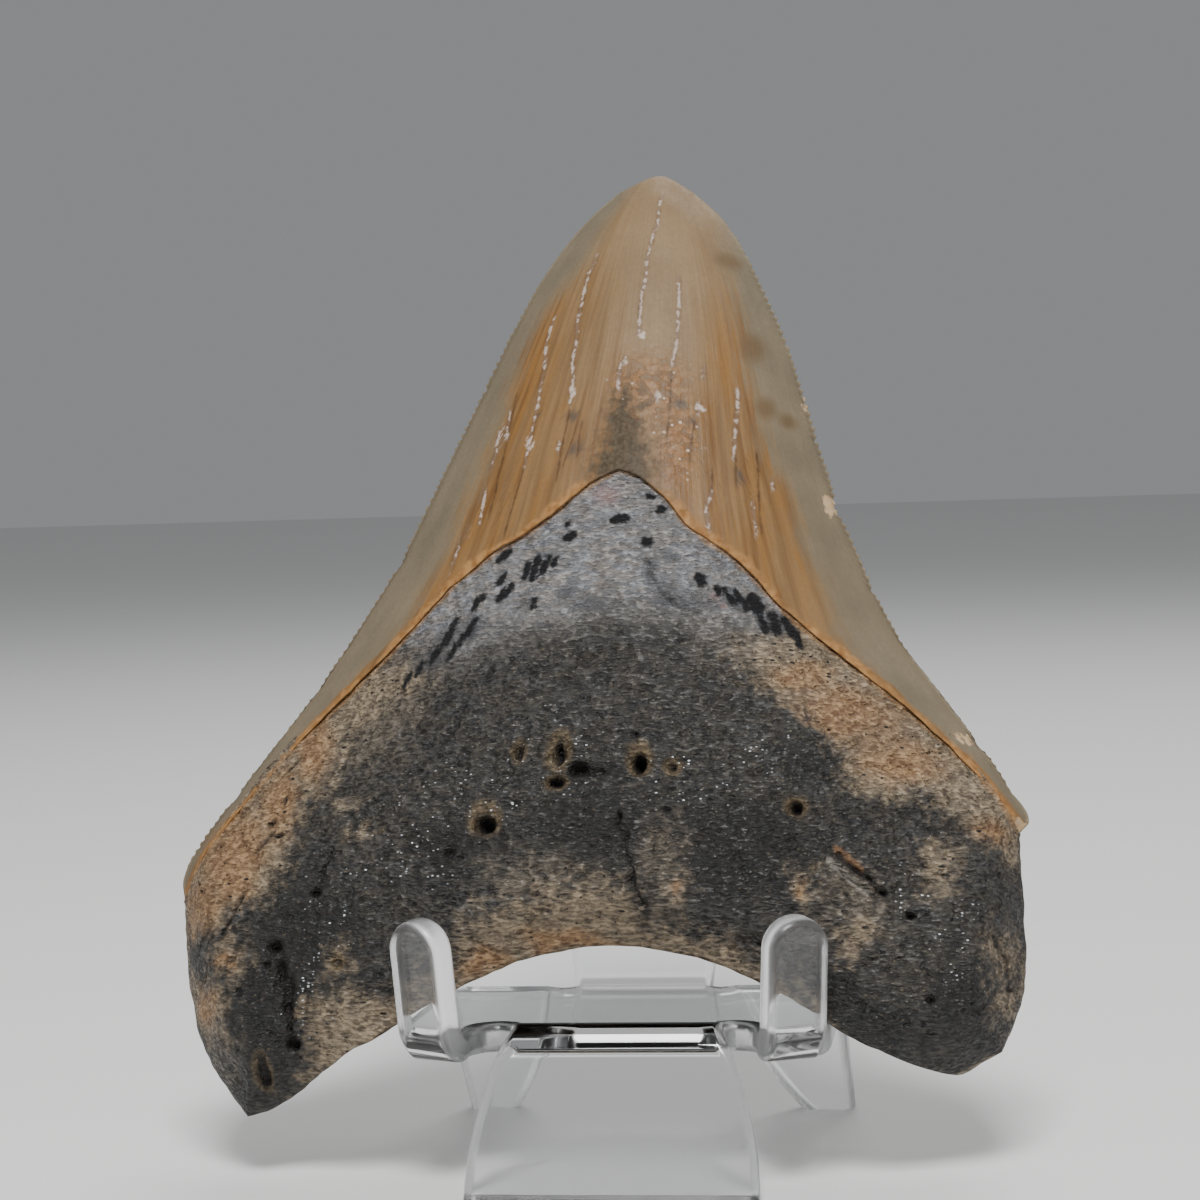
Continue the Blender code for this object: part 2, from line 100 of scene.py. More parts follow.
def curve_through(points):
    """A smooth curve through points, as a function of the share of its length, 0 to 1."""
    p = np.array(points, float)
    p = np.vstack([2 * p[0] - p[1], p, 2 * p[-1] - p[-2]])
    t = np.linspace(0.0, 1.0, CURVE_STEPS, endpoint=False)[:, None]
    runs = [0.5 * (2 * b + (c - a) * t + (2 * a - 5 * b + 4 * c - d) * t**2
                   + (3 * b - a - 3 * c + d) * t**3)
            for a, b, c, d in zip(p, p[1:], p[2:], p[3:])]
    dense = np.vstack(runs + [p[-2:-1]])
    length = np.concatenate([[0.0], np.cumsum(np.linalg.norm(np.diff(dense, axis=0), axis=1))])

    def at(share):
        where = np.asarray(share, float) * length[-1]
        return np.stack([np.interp(where, length, dense[:, k]) for k in (0, 1)], axis=-1)

    at.length = length[-1]
    return at


def smoothstep(low, high, value):
    t = np.clip((value - low) / (high - low), 0.0, 1.0)
    return t * t * (3.0 - 2.0 * t)


def smooth_table(rows, column=1, blur=4.0):
    """A column of a table against its first, rounded off so that it leaves no crease."""
    rows = np.array(rows, float)
    step = 0.25
    v = np.arange(-20.0, 110.0, step)
    kernel = np.hanning(int(2 * blur / step) | 1)
    raw = np.pad(np.interp(v, rows[:, 0], rows[:, column]), len(kernel) // 2, mode="edge")
    rounded = np.convolve(raw, kernel / kernel.sum(), mode="valid")
    return lambda at: np.interp(at, v, rounded)


# %% Seeded noise
LATTICE = 128  # cells before the noise repeats


def wobble(x, v, size, seed, size_v=None):
    """Smooth random values from -1 to 1 over the plane, with lumps of a size in mm."""
    values = np.random.default_rng(seed).uniform(-1, 1, (LATTICE, LATTICE))
    a, b = np.asarray(x) / size + 37.3, np.asarray(v) / (size_v or size) + 51.7
    i, j = np.floor(a).astype(int), np.floor(b).astype(int)
    s, t = a - i, b - j
    s, t = s * s * (3 - 2 * s), t * t * (3 - 2 * t)
    near, far = (values[i % LATTICE, k % LATTICE] * (1 - s) + values[(i + 1) % LATTICE, k % LATTICE] * s
                 for k in (j, j + 1))
    return near * (1 - t) + far * t


# %% [markdown]
# ## The form of the tooth
# The tooth has its own frame: x across, v up along the tooth, and w out of the plane of its
# cutting edges, toward the front. The front is the lingual face, which bulges; the back is the
# flatter labial face. The outline is drawn with curves, and two tables say how far each face
# stands out at each height.

# %% Outline and tables, in mm
TOOTH_LEAN = math.radians(22.0)
TOOTH_FOOT = (2.955, -11.395, 16.6)  # the tooth's own frame starts here

LOBE_LEFT, LOBE_RIGHT = (-39.5, -10.9), (39.2, -4.3)
GUM_LEFT, GUM_RIGHT = (-48.0, 12.4), (41.5, 18.6)
TIP_LEFT, TIP_RIGHT = (-2.4, 94.9), (6.4, 94.4)

ROOT_BASE = [LOBE_LEFT, (-36.4, -9.9), (-31.2, -7.0), (-26.2, -4.7), (-21.6, -2.0), (-15.6, 1.5),
             (-8.8, 4.3), (-1.0, 5.5), (6.8, 4.6), (13.8, 2.2), (20.2, -1.5), (24.6, -4.3),
             (29.5, -6.1), (34.6, -6.7), LOBE_RIGHT]
ROOT_SIDE_LEFT = [LOBE_LEFT, (-43.4, -6.0), (-45.9, -0.6), (-47.3, 6.0), GUM_LEFT]
ROOT_SIDE_RIGHT = [LOBE_RIGHT, (41.4, 1.0), (41.9, 7.0), (41.7, 13.0), GUM_RIGHT]
EDGE_LEFT = [GUM_LEFT, (-48.3, 15.3), (-46.0, 20.2), (-37.1, 32.6), (-31.3, 41.6), (-26.3, 50.5),
             (-22.1, 60.2), (-18.0, 69.7), (-14.3, 78.2), (-10.3, 85.7), (-6.2, 91.3), TIP_LEFT]
EDGE_RIGHT = [GUM_RIGHT, (42.5, 20.6), (38.9, 26.7), (34.2, 33.4), (29.5, 40.2), (25.3, 49.4),
              (22.0, 58.8), (19.3, 68.3), (16.6, 76.9), (13.3, 84.7), (9.9, 90.7), TIP_RIGHT]
TIP_ARC = [TIP_LEFT, (2.3, 96.8), TIP_RIGHT]
GUM_LINGUAL = [GUM_LEFT, (-37.0, 26.9), (-25.1, 38.1), (-16.6, 46.3), (-9.5, 50.4), (-3.4, 55.2),
               (0.5, 56.9), (4.2, 54.2), (7.8, 49.9), (13.0, 46.0), (17.8, 40.8), (26.3, 34.2),
               (36.0, 25.7), GUM_RIGHT]
GUM_LABIAL = [GUM_LEFT, (-33.0, 24.0), (-15.0, 33.0), (-1.0, 35.5), (14.0, 34.5), (30.0, 27.5),
              GUM_RIGHT]

# How far each face stands from the plane of the cutting edges: height v, middle, rim.
LINGUAL = [
    (-12, 7.5, 5.5), (0, 9.6, 7), (6, 11, 6.2), (12, 12.6, 4.8), (20, 14.2, 2.2), (28, 14.6, 0.9),
    (36, 13.4, 0.6), (44, 11.9, 0.5), (52, 10.7, 0.5), (60, 9.5, 0.5), (70, 7.8, 0.5), (80, 5.8, 0.5),
    (88, 4, 0.5), (94, 2.3, 0.4), (98, 1, 0.3)]
LABIAL = [
    (-12, 5, 5), (0, 6.6, 5.6), (10, 7.4, 5), (20, 7.6, 2.2), (30, 7, 0.9), (40, 6, 0.6), (50, 5.2, 0.5),
    (60, 4.5, 0.5), (70, 3.8, 0.5), (80, 3, 0.5), (90, 2, 0.4), (98, 0.8, 0.3)]
# Over how many mm from the outline a face rises to its height.
ROUNDING = [
    (-12, 5), (6, 6), (14, 4.5), (22, 1.8), (30, 0.9), (98, 0.7)]
BASE_RIM = 6.5  # the arch's lower rim stands this far to the front of the cutting plane
BASE_REACH = 9.0  # and its underside runs this far up to the labial face
ENAMEL_STEP = 0.27  # thickness of the enamel's edge along the gum line


TOOTH_LOW, TOOTH_HIGH = (np.array(corner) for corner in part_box("tooth"))


def placed(x, v, w):
    """A place in the tooth's frame, in mm, as a point of the model in metres, inside its box."""
    y = TOOTH_FOOT[1] + v * math.sin(TOOTH_LEAN) - w * math.cos(TOOTH_LEAN)
    z = TOOTH_FOOT[2] + v * math.cos(TOOTH_LEAN) + w * math.sin(TOOTH_LEAN)
    points = np.stack([x + TOOTH_FOOT[0], y, z], axis=-1) * MM
    return np.clip(points, TOOTH_LOW + 0.02 * MM, TOOTH_HIGH - 0.02 * MM)


# %% The nearest point of the outline
OUTLINE = {  # each stretch of the outline, and the side of it that the tooth lies on
    "base": (ROOT_BASE, 1), "side_left": (ROOT_SIDE_LEFT, -1), "side_right": (ROOT_SIDE_RIGHT, 1),
    "edge_left": (EDGE_LEFT, -1), "edge_right": (EDGE_RIGHT, 1), "tip": (TIP_ARC, -1)}
BATCH = 4000  # points measured at a time, to save memory


def nearest(x, v, names, step=0.5):
    """Distance to the named stretches, the inward direction there, the length along, and which."""
    runs = []
    for number, name in enumerate(names):
        points, side = OUTLINE[name]
        curve = curve_through(points)
        share = np.linspace(0, 1, max(2, int(curve.length / step)))
        p, count = curve(share), len(share) - 1
        runs.append(np.column_stack([p[:-1], p[1:], share[:-1] * curve.length,
                                     np.full(count, side), np.full(count, number)]))
    a, b, s, side, which = np.split(np.vstack(runs), [2, 4, 5, 6], axis=1)
    run = b - a
    size = (run**2).sum(axis=1)
    inward = np.stack([-run[:, 1], run[:, 0]], axis=1) * side / np.sqrt(size)[:, None]
    flat = np.stack([np.ravel(x), np.ravel(v)], axis=1)
    gap, place, best = np.empty(len(flat)), np.empty(len(flat)), np.empty(len(flat), int)
    for k in range(0, len(flat), BATCH):
        batch = slice(k, k + BATCH)
        part = flat[batch, None, :]
        t = np.clip(((part - a) * run).sum(axis=2) / size, 0.0, 1.0)
        distance = np.linalg.norm(part - (a + t[..., None] * run), axis=2)
        pick = distance.argmin(axis=1)
        row = np.arange(len(pick))
        best[batch] = pick
        gap[batch] = distance[row, pick]
        place[batch] = s[pick, 0] + t[row, pick] * np.sqrt(size[pick])
    shape = np.shape(x)
    return (gap.reshape(shape), inward[best].reshape(*shape, 2), place.reshape(shape),
            which[best, 0].reshape(shape))


# %% How far a face stands out
def side_at(points):
    """x of one side of the tooth at a height v."""
    dense = curve_through(points)(np.linspace(0, 1, 200))
    return smooth_table(dense[np.argsort(dense[:, 1]), ::-1], blur=3.0)


left_side = side_at(ROOT_SIDE_LEFT + EDGE_LEFT[1:])
right_side = side_at(ROOT_SIDE_RIGHT + EDGE_RIGHT[1:])


def face_height(x, v, table, sign, gap):
    """How far a face stands from the cutting plane, toward the front."""
    middle, rim = (smooth_table(table, column)(v) for column in (1, 2))
    left, right = left_side(v), right_side(v)
    across = np.clip(np.abs(2 * (x - left) / (right - left) - 1), 0.0, 1.0)
    power = 2.0 if sign > 0 else 2.8
    plateau = sign * (rim + (middle - rim) * (1 - across**power))
    under = (1 - smoothstep(26.0, 36.0, np.abs(x))) * (1 - smoothstep(9.0, 18.0, v))
    reach = smooth_table(ROUNDING)(v)
    if sign < 0:
        reach = reach + (BASE_REACH - reach) * under
    rise = np.sin(np.pi / 2 * np.clip(gap / reach, 0.0, 1.0))
    return BASE_RIM * under * (1 - rise) + plateau * rise


# %% From four curves to a closed piece
def patch(base, top, left, right, shares_up, across):
    """Points between four curves; across gives the shares along each row."""
    q = np.asarray(shares_up)[:, None, None]
    u = across[..., None]
    corners = ((1 - u) * (1 - q) * base(0.0) + u * (1 - q) * base(1.0)
               + (1 - u) * q * top(0.0) + u * q * top(1.0))
    sides = (1 - u) * left(shares_up)[:, None] + u * right(shares_up)[:, None]
    return (1 - q) * base(across) + q * top(across) + sides - corners


def two_faces(name, front, back, open_row):
    """Welds two faces along their sides and one end row, and closes the other with a strip."""
    front, back = placed(*front), placed(*back)
    for shared in (np.s_[:, 0], np.s_[:, -1], np.s_[-1 - open_row, :]):
        back[shared] = front[shared]
    sheets = {"front": front, "back": back, "strip": np.stack([front[open_row], back[open_row]])}
    return weld(name, [grid_sheet(f"{name}_{part}", points) for part, points in sheets.items()])


# %% [markdown]
# ## The enamel crown
# The enamel is a cap, less than half a millimetre thick where it ends at the gum line, and it
# stands proud of the root there with a chipped rim. Its two long edges are thin and serrated:
# rounded little teeth, about 0.9 mm apart, that fade out toward the tip. Relief in a material
# could only shade them, and they show in the outline, so they are cut into the mesh. The rows of
# the grid are close enough for about four points on each of them.

# %% The serrated edges
SERRATION_PITCH = 0.93
SERRATION_DEPTH = 0.42
INSET = 0.12  # the rim stays this far inside the outline
EDGE_CHIPS = {  # height v, width and depth of each bite, in mm
    "edge_right": [(55.4, 1.6, 0.55), (46.0, 0.7, 0.25), (28.6, 0.8, 0.3), (63.5, 0.5, 0.2),
                   (23.6, 1.5, 0.25)],
    "edge_left": [(50.5, 0.9, 0.3), (36.0, 0.7, 0.25), (24.0, 0.8, 0.3), (71.0, 0.6, 0.2)],
}
SERRATED = {"edge_right": (4.0, 78.0), "edge_left": (2.5, 84.0)}  # mm along each edge


def edge_cut(name, s):
    """How far the cutting edge stands back from the outline at a length s along it."""
    seed = 11 if name == "edge_left" else 12
    first, last = SERRATED[name]
    strength = smoothstep(first, first + 5, s) * (1 - smoothstep(last - 10, last, s))
    strength = strength * (0.85 + 0.3 * wobble(s, s * 0, 2.3, seed))
    phase = s / SERRATION_PITCH + 0.25 * wobble(s, s * 0 + 5, 3.0, seed)
    valley = (1 - np.abs(np.sin(np.pi * phase))) ** 0.8
    cut = INSET + SERRATION_DEPTH * strength * valley + 0.05 * (1 + wobble(s, s * 0 + 9, 1.1, seed))
    curve = curve_through(OUTLINE[name][0])
    share = np.linspace(0, 1, 400)
    height = curve(share)[:, 1]
    for v, width, depth in EDGE_CHIPS[name]:
        centre = np.interp(v, height[12:], share[12:]) * curve.length
        cut = cut + depth * np.exp(-((s - centre) / width) ** 2)
    return cut


# %% The crown's two faces
CROWN_ROWS = 420
CROWN_COLUMNS = 108
NEAR_EDGE = np.array([0.0, 0.22, 0.46, 0.74, 1.1, 1.6, 2.4])  # mm from the edge to the first columns
LIP_SHARES = (0.012, 0.0, 0.0, 0.0012, 0.0035)  # the first rows turn the enamel's lip inwards
LIP_LIFT = (-1.2, -0.4, 0.55, 0.85, 0.98)  # and rise by these shares of its thickness


def crown_face(gum, table, sign, seed):
    gum_line, tip = curve_through(gum), curve_through(TIP_ARC)

    def jagged(share):
        s = np.asarray(share) * gum_line.length
        fade = smoothstep(0, 6, s) * (1 - smoothstep(gum_line.length - 6, gum_line.length, s))
        jitter = sum(depth * wobble(s, s * 0, size, seed + k)
                     for k, (depth, size) in enumerate(((0.30, 3.7), (0.20, 1.7), (0.06, 0.7))))
        return gum_line(share) + np.stack([jitter * 0, jitter * fade], axis=-1)

    up = np.concatenate([LIP_SHARES, np.linspace(0.007, 1.0, CROWN_ROWS)])
    width = gum_line.length * (1 - up) + tip.length * up
    edge = np.minimum(NEAR_EDGE / width[:, None], np.linspace(0, 0.3, len(NEAR_EDGE)))
    middle = np.linspace(0, 1, CROWN_COLUMNS - 2 * len(NEAR_EDGE) + 2)[1:-1]
    last = edge[:, -1:]
    across = np.hstack([edge, last + (1 - 2 * last) * middle, 1 - edge[:, ::-1]])
    grid = patch(jagged, tip, curve_through(EDGE_LEFT), curve_through(EDGE_RIGHT), up, across)
    x, v = grid[..., 0], grid[..., 1]
    gap = nearest(x, v, list(OUTLINE))[0]
    gap[:, [0, -1]] = 0.0
    gap[-1] = 0.0
    rough = 0.07 * wobble(x, v, 5.0, seed + 3, 14.0) + 0.03 * wobble(x, v, 1.6, seed + 4, 9.0)
    skin = ENAMEL_STEP + np.where(v > 0, rough, 0)
    lift = np.ones(len(up))
    lift[:len(LIP_LIFT)] = LIP_LIFT
    w = face_height(x, v, table, sign, gap)
    w = w + sign * skin * lift[:, None] * smoothstep(0.0, 1.1, gap)
    distance, inward, s, which = nearest(x, v, ["edge_left", "edge_right", "tip"], step=0.25)
    cut = np.select([which == 0, which == 1], [edge_cut("edge_left", s), edge_cut("edge_right", s)],
                    INSET)
    keep = np.clip(1 - distance / 1.3, 0, 1) ** 1.3
    move = (cut * keep)[..., None] * inward
    w = w * (0.28 + 0.72 * np.sin(np.pi / 2 * np.clip(distance / 4.5, 0, 1)))
    return x + move[..., 0], v + move[..., 1], w


# %% [markdown]
# The two faces share their rim. A third strip joins their lower rows inside the root, so that
# the cap is one closed body.

# %% Weld the crown
crown = two_faces("enamel_crown", crown_face(GUM_LINGUAL, LINGUAL, 1, 20),
                  crown_face(GUM_LABIAL, LABIAL, -1, 40), open_row=0)

# %% [markdown]
# ## The root
# The root is bone-like and porous. Its front is dotted with foramina, the openings that blood
# vessels ran through, and both faces have pits and cracks from long burial. All of these are
# real relief here: every one is a short list of place, size and depth, and the points of the
# grid sink where it lies.

# %% Foramina, pits and cracks, in mm
# Pits are x, v, half width, half height and depth. Cracks are points, half width and depth.
FORAMINA = [
    (-12.9, 17.2, 0.75, 0.8, 2.4), (-11.2, 16.3, 0.3, 0.25, 0.7), (-5.2, 24.3, 0.42, 0.95, 2),
    (-3.2, 22.7, 0.95, 0.7, 2), (-1.6, 22.3, 1.3, 0.4, 0.8), (-5.4, 21.3, 0.75, 0.42, 1.3),
    (-9.4, 24.5, 0.3, 0.75, 1.3), (3.1, 23.1, 0.52, 0.8, 2.6), (2.7, 26.2, 0.32, 0.35, 1),
    (6.6, 22.7, 0.32, 0.36, 0.7), (19, 18.8, 0.5, 0.62, 1.6), (-16.7, 14.4, 0.55, 0.4, 1),
    (-15.3, 14, 0.3, 0.3, 0.8), (-10.7, 15.9, 0.25, 0.25, 0.6), (30.3, 8.3, 0.36, 0.32, 1.2),
    (32.2, -0.3, 0.34, 0.42, 1.1), (-35.6, 5.6, 0.7, 0.55, 1.5), (-36.3, 3.9, 0.32, 0.32, 0.8),
    (-33.6, -4.1, 0.55, 0.5, 1.6), (-31.2, 11, 0.45, 0.4, 1.2), (-37, 19.2, 0.45, 0.25, 0.9),
    (-35.9, 17.6, 0.6, 0.22, 0.9), (-35.7, 21.7, 0.25, 0.45, 0.8), (15.1, 5.4, 0.3, 0.26, 0.8),
    (6, 18.4, 0.18, 0.2, 0.6), (23.9, 10.2, 0.22, 0.24, 0.6), (-7.4, 10.1, 0.2, 0.24, 0.6),
    (-20.3, 9.3, 0.24, 0.2, 0.6), (-28.6, 3.7, 0.3, 0.3, 0.5), (-40.5, 4.4, 0.5, 0.22, 0.6),
    (-36.9, -6.9, 0.45, 1.25, 1.2)]
SAUCERS = [  # sunken rings round the larger foramina: x, v, half width, half height
    (-12.9, 17.7, 1.75, 1.9), (-5.2, 24.4, 1.5, 2.3), (-5.4, 21.3, 1.3, 0.85), (3.1, 23.6, 1.35, 2),
    (6.6, 22.7, 0.95, 0.95), (19, 19, 1.25, 1.1), (-9.5, 24.7, 0.9, 1.3), (-28.6, 3.7, 0.9, 0.9),
    (-36.9, -6.8, 0.95, 1.9)]
SCAR = (-2.5, 34.9, 1.4, 1.6)
CRACKS = [
    ([(-34.9, 3.6), (-34.3, 1.8), (-33.8, 0.6), (-33.6, -0.8)], 0.62, 1.9),
    ([(-33.6, -0.6), (-33.3, -2.2), (-33.5, -3.8)], 0.3, 1.3),
    ([(-29.6, 15.6), (-30.1, 13.6), (-31.2, 11.2)], 0.2, 0.8),
    ([(0.9, 18.1), (1.5, 16), (1.7, 14.4), (2.4, 12.2), (2.7, 10.2), (3.3, 8.9)], 0.2, 1),
    ([(23.2, 14.4), (25.4, 12.6), (27.8, 10.4)], 0.3, 0.9),
    ([(22.7, 13.2), (25, 11.3), (27, 10)], 0.16, 0.5), ([(-36.4, 18), (-38.2, 16.1)], 0.22, 0.7),
    ([(-39.4, 11.4), (-40.3, 9.3), (-41.4, 7)], 0.16, 0.6), ([(-34.5, 26.8), (-36.3, 25.1)], 0.14, 0.5),
    ([(38.6, 6.6), (39.6, 4.4), (40, 1.7)], 0.22, 0.7),
    ([(2.9, 46.4), (3.6, 44.3), (4.8, 42.2), (6.4, 40.8), (8.8, 40.1)], 0.2, 0.3),
    ([(-43.3, 8), (-44.6, 6.6)], 0.25, 0.5)]
PITS_BEHIND = [
    (-24, 12, 0.5, 0.4, 1), (-14.5, 20.5, 0.35, 0.5, 0.9), (-31, 3.5, 0.4, 0.5, 1),
    (16.5, 19, 0.45, 0.4, 1), (27.5, 9.5, 0.5, 0.6, 1.1), (33, 14, 0.3, 0.3, 0.7),
    (-38, 9.5, 0.3, 0.4, 0.8)]
CRACKS_BEHIND = [
    ([(-20, 24.5), (-20.8, 21), (-20.2, 17.5)], 0.18, 0.7),
    ([(22, 17), (24.5, 13.5), (25, 10.5)], 0.18, 0.7)]
FRONT_OPENINGS, BACK_OPENINGS = (FORAMINA, CRACKS), (PITS_BEHIND, CRACKS_BEHIND)
print("openings in front:", len(FORAMINA) + len(CRACKS))


# %% How deep the openings are
def line_distance(x, v, points):
    """Distance from each place to a line through points."""
    best = np.full(np.shape(x), 1e9)
    for (ax, av), (bx, bv) in zip(points, points[1:]):
        dx, dv = bx - ax, bv - av
        t = np.clip(((x - ax) * dx + (v - av) * dv) / (dx * dx + dv * dv), 0, 1)
        best = np.minimum(best, np.hypot(x - ax - t * dx, v - av - t * dv))
    return best


def oval(x, v, px, pv, half_x, half_v):
    """1 on the rim of an oval, 0 at its middle, and growing outwards."""
    return np.hypot((x - px) / half_x, (v - pv) / half_v)


def openings(x, v, pits, cracks):
    """Depth of the foramina, slits and cracks of a face, 0 where there are none."""
    bend = 0.22 * wobble(x, v, 0.7, 3)
    depth = np.zeros(np.shape(x))
    for px, pv, half_x, half_v, deep in pits:
        far = oval(x, v, px, pv, half_x * 1.1, half_v * 1.1) + bend
        depth = np.maximum(depth, deep * np.exp(-np.clip(far, 0, 6) ** 3.2))
    for points, half, deep in cracks:
        far = line_distance(x + 0.45 * wobble(x, v, 1.1, 5), v, points) / half
        broken = 0.75 + 0.35 * wobble(x, v, 0.8, 6)
        depth = np.maximum(depth, deep * broken * np.exp(-np.clip(far, 0, 6) ** 3))
    return depth


def saucers(x, v):
    """Shallow dips with a raised rim round the larger foramina."""
    dip = np.zeros(np.shape(x))
    for spot in SAUCERS + [SCAR]:
        far = oval(x, v, *spot) + 0.12 * wobble(x, v, 0.9, 8)
        dip = dip + 0.35 * np.exp(-(far / 0.8) ** 4) - 0.12 * np.exp(-((far - 1.15) / 0.22) ** 2)
    return dip


# %% The root's rough surface
def root_relief(x, v, gap, seed):
    """Lumps, grain and pores of the root in mm."""
    lumps = 0.28 * wobble(x, v, 8.0, seed) + 0.17 * wobble(x, v, 3.4, seed + 1)
    grain = 0.11 * wobble(x, v, 1.5, seed + 2) + 0.09 * wobble(x, v, 0.75, seed + 3)
    low = 1 - smoothstep(3.0, 11.0, gap)
    fibres = 0.13 * wobble(x, v, 3.2, seed + 4, 0.7) * low
    pores = 0.35 * smoothstep(0.5, 0.85, wobble(x, v, 0.7, seed + 5))
    band = 1 - 0.6 * smoothstep(36.0, 41.0, v)
    lobes = smoothstep(26.0, 34.0, np.abs(x)) * (1 - smoothstep(2.0, 9.0, v))
    lumps = lumps + 0.35 * lobes * wobble(x, v, 2.2, seed + 6)
    return (lumps - 0.3 - 0.15 * lobes) * (0.25 + 0.75 * band) + (grain + fibres - pores) * band


# %% The root's two faces, welded
ROOT_ROWS = 176
ROOT_COLUMNS = 276
UNDER_ENAMEL = 1.8  # mm that the root reaches up under the enamel


def root_face(gum, table, sign, seed):
    gum_line = curve_through(gum)

    def top(share):
        lift = UNDER_ENAMEL * smoothstep(0.0, 0.12, share) * (1 - smoothstep(0.88, 1.0, share))
        return gum_line(share) + np.stack([lift * 0, lift], axis=-1)

    up = np.linspace(0, 1, ROOT_ROWS)
    across = np.tile(np.linspace(0, 1, ROOT_COLUMNS), (ROOT_ROWS, 1))
    grid = patch(curve_through(ROOT_BASE), top, curve_through(ROOT_SIDE_LEFT),
                 curve_through(ROOT_SIDE_RIGHT), up, across)
    x, v = grid[..., 0], grid[..., 1]
    gap = nearest(x, v, list(OUTLINE))[0]
    gap[0] = 0.0
    relief = root_relief(x, v, gap, seed)
    if sign > 0:
        relief = relief - openings(x, v, *FRONT_OPENINGS) - saucers(x, v)
    else:
        relief = relief - openings(x, v, *BACK_OPENINGS)
    w = face_height(x, v, table, sign, gap) + sign * relief * smoothstep(0.0, 2.5, gap)
    distance, inward, s, _ = nearest(x, v, ["base", "side_left", "side_right"], step=0.3)
    back_off = 0.10 * (1 + wobble(s, s * 0, 2.4, 61)) + 0.07 * (1 + wobble(s, s * 0, 0.9, 62))
    keep = np.clip(1 - distance / 3.0, 0, 1) ** 2 * smoothstep(0.0, 0.02, 1 - up)[:, None]
    push = (back_off * keep)[..., None] * inward
    return x + push[..., 0], v + push[..., 1], w


root = two_faces("fossil_root", root_face(GUM_LINGUAL, LINGUAL, 1, 80),
                 root_face(GUM_LABIAL, LABIAL, -1, 90), open_row=-1)

# %% [markdown]
# ## Where each colour lies
# Colours of a fossil follow how minerals soaked in: they have places, not patterns. Each stain
# is drawn as a rough outline in the tooth's frame. Every point of the mesh keeps how far inside
# the stain it is, in mm, and the material turns that into a ragged edge with fine noise.

# %% Read back the tooth's frame at each point
FIELD_REACH = 4.0  # mm that a stain's field covers on each side of its edge


def read_points(piece):
    """All points of a piece, in mm."""
    co = np.empty(len(piece.data.vertices) * 3, np.float32)
    piece.data.vertices.foreach_get("co", co)
    return co.reshape(-1, 3).astype(float) / MM


def tooth_places(piece):
    """x, v and w of each point of a piece, in mm."""
    p = read_points(piece) - np.array(TOOTH_FOOT)
    sin, cos = math.sin(TOOTH_LEAN), math.cos(TOOTH_LEAN)
    return p[:, 0], p[:, 1] * sin + p[:, 2] * cos, p[:, 2] * sin - p[:, 1] * cos


def keep_masks(piece, masks, low=0.0):
    """Stores numbers from low to 1 for each point, under their names."""
    for name, values in masks.items():
        layer = piece.data.attributes.new(name, "FLOAT", "POINT")
        layer.data.foreach_set("value", np.clip(values, low, 1.0).astype(np.float32))


def keep_fields(piece, fields):
    """Stores how far each point is inside each stain, as a share of the field's reach."""
    keep_masks(piece, {name: inside / FIELD_REACH for name, inside in fields.items()}, low=-1.0)


# %% Distances into stains
def inside_polygon(x, v, polygon):
    """Distance to the edge of a polygon in mm, positive inside."""
    closed = polygon + polygon[:1]
    odd = np.zeros(np.shape(x), bool)
    for (ax, av), (bx, bv) in zip(closed, closed[1:]):
        if av != bv:
            odd ^= ((av > v) != (bv > v)) & (x < ax + (v - av) * (bx - ax) / (bv - av))
    return np.where(odd, 1, -1) * line_distance(x, v, closed)


def inside_any(x, v, polygons, ovals=()):
    """Distance into the union of polygons and ovals."""
    best = np.full(np.shape(x), -FIELD_REACH)
    for polygon in polygons:
        best = np.maximum(best, inside_polygon(x, v, polygon))
    for spot in ovals:
        best = np.maximum(best, (1 - oval(x, v, *spot)) * min(spot[2:]))
    return best


def soft_ovals(x, v, ovals, low=0.3, high=1.4, shift=0.0):
    """A soft mask: 1 at the middle of each oval, 0 well outside."""
    best = np.zeros(np.shape(x))
    for spot in ovals:
        best = np.maximum(best, 1 - smoothstep(low, high, oval(x, v, *spot) + shift))
    return best


def line_across(points, v):
    """x at a height v of a line through points."""
    across, up = zip(*sorted(points, key=lambda p: p[1]))
    return np.interp(v, up, across)


def curve_distance(x, v, points, samples):
    """Distance from a smooth curve through points."""
    drawn = curve_through(points)(np.linspace(0, 1, samples))
    return line_distance(x, v, drawn)


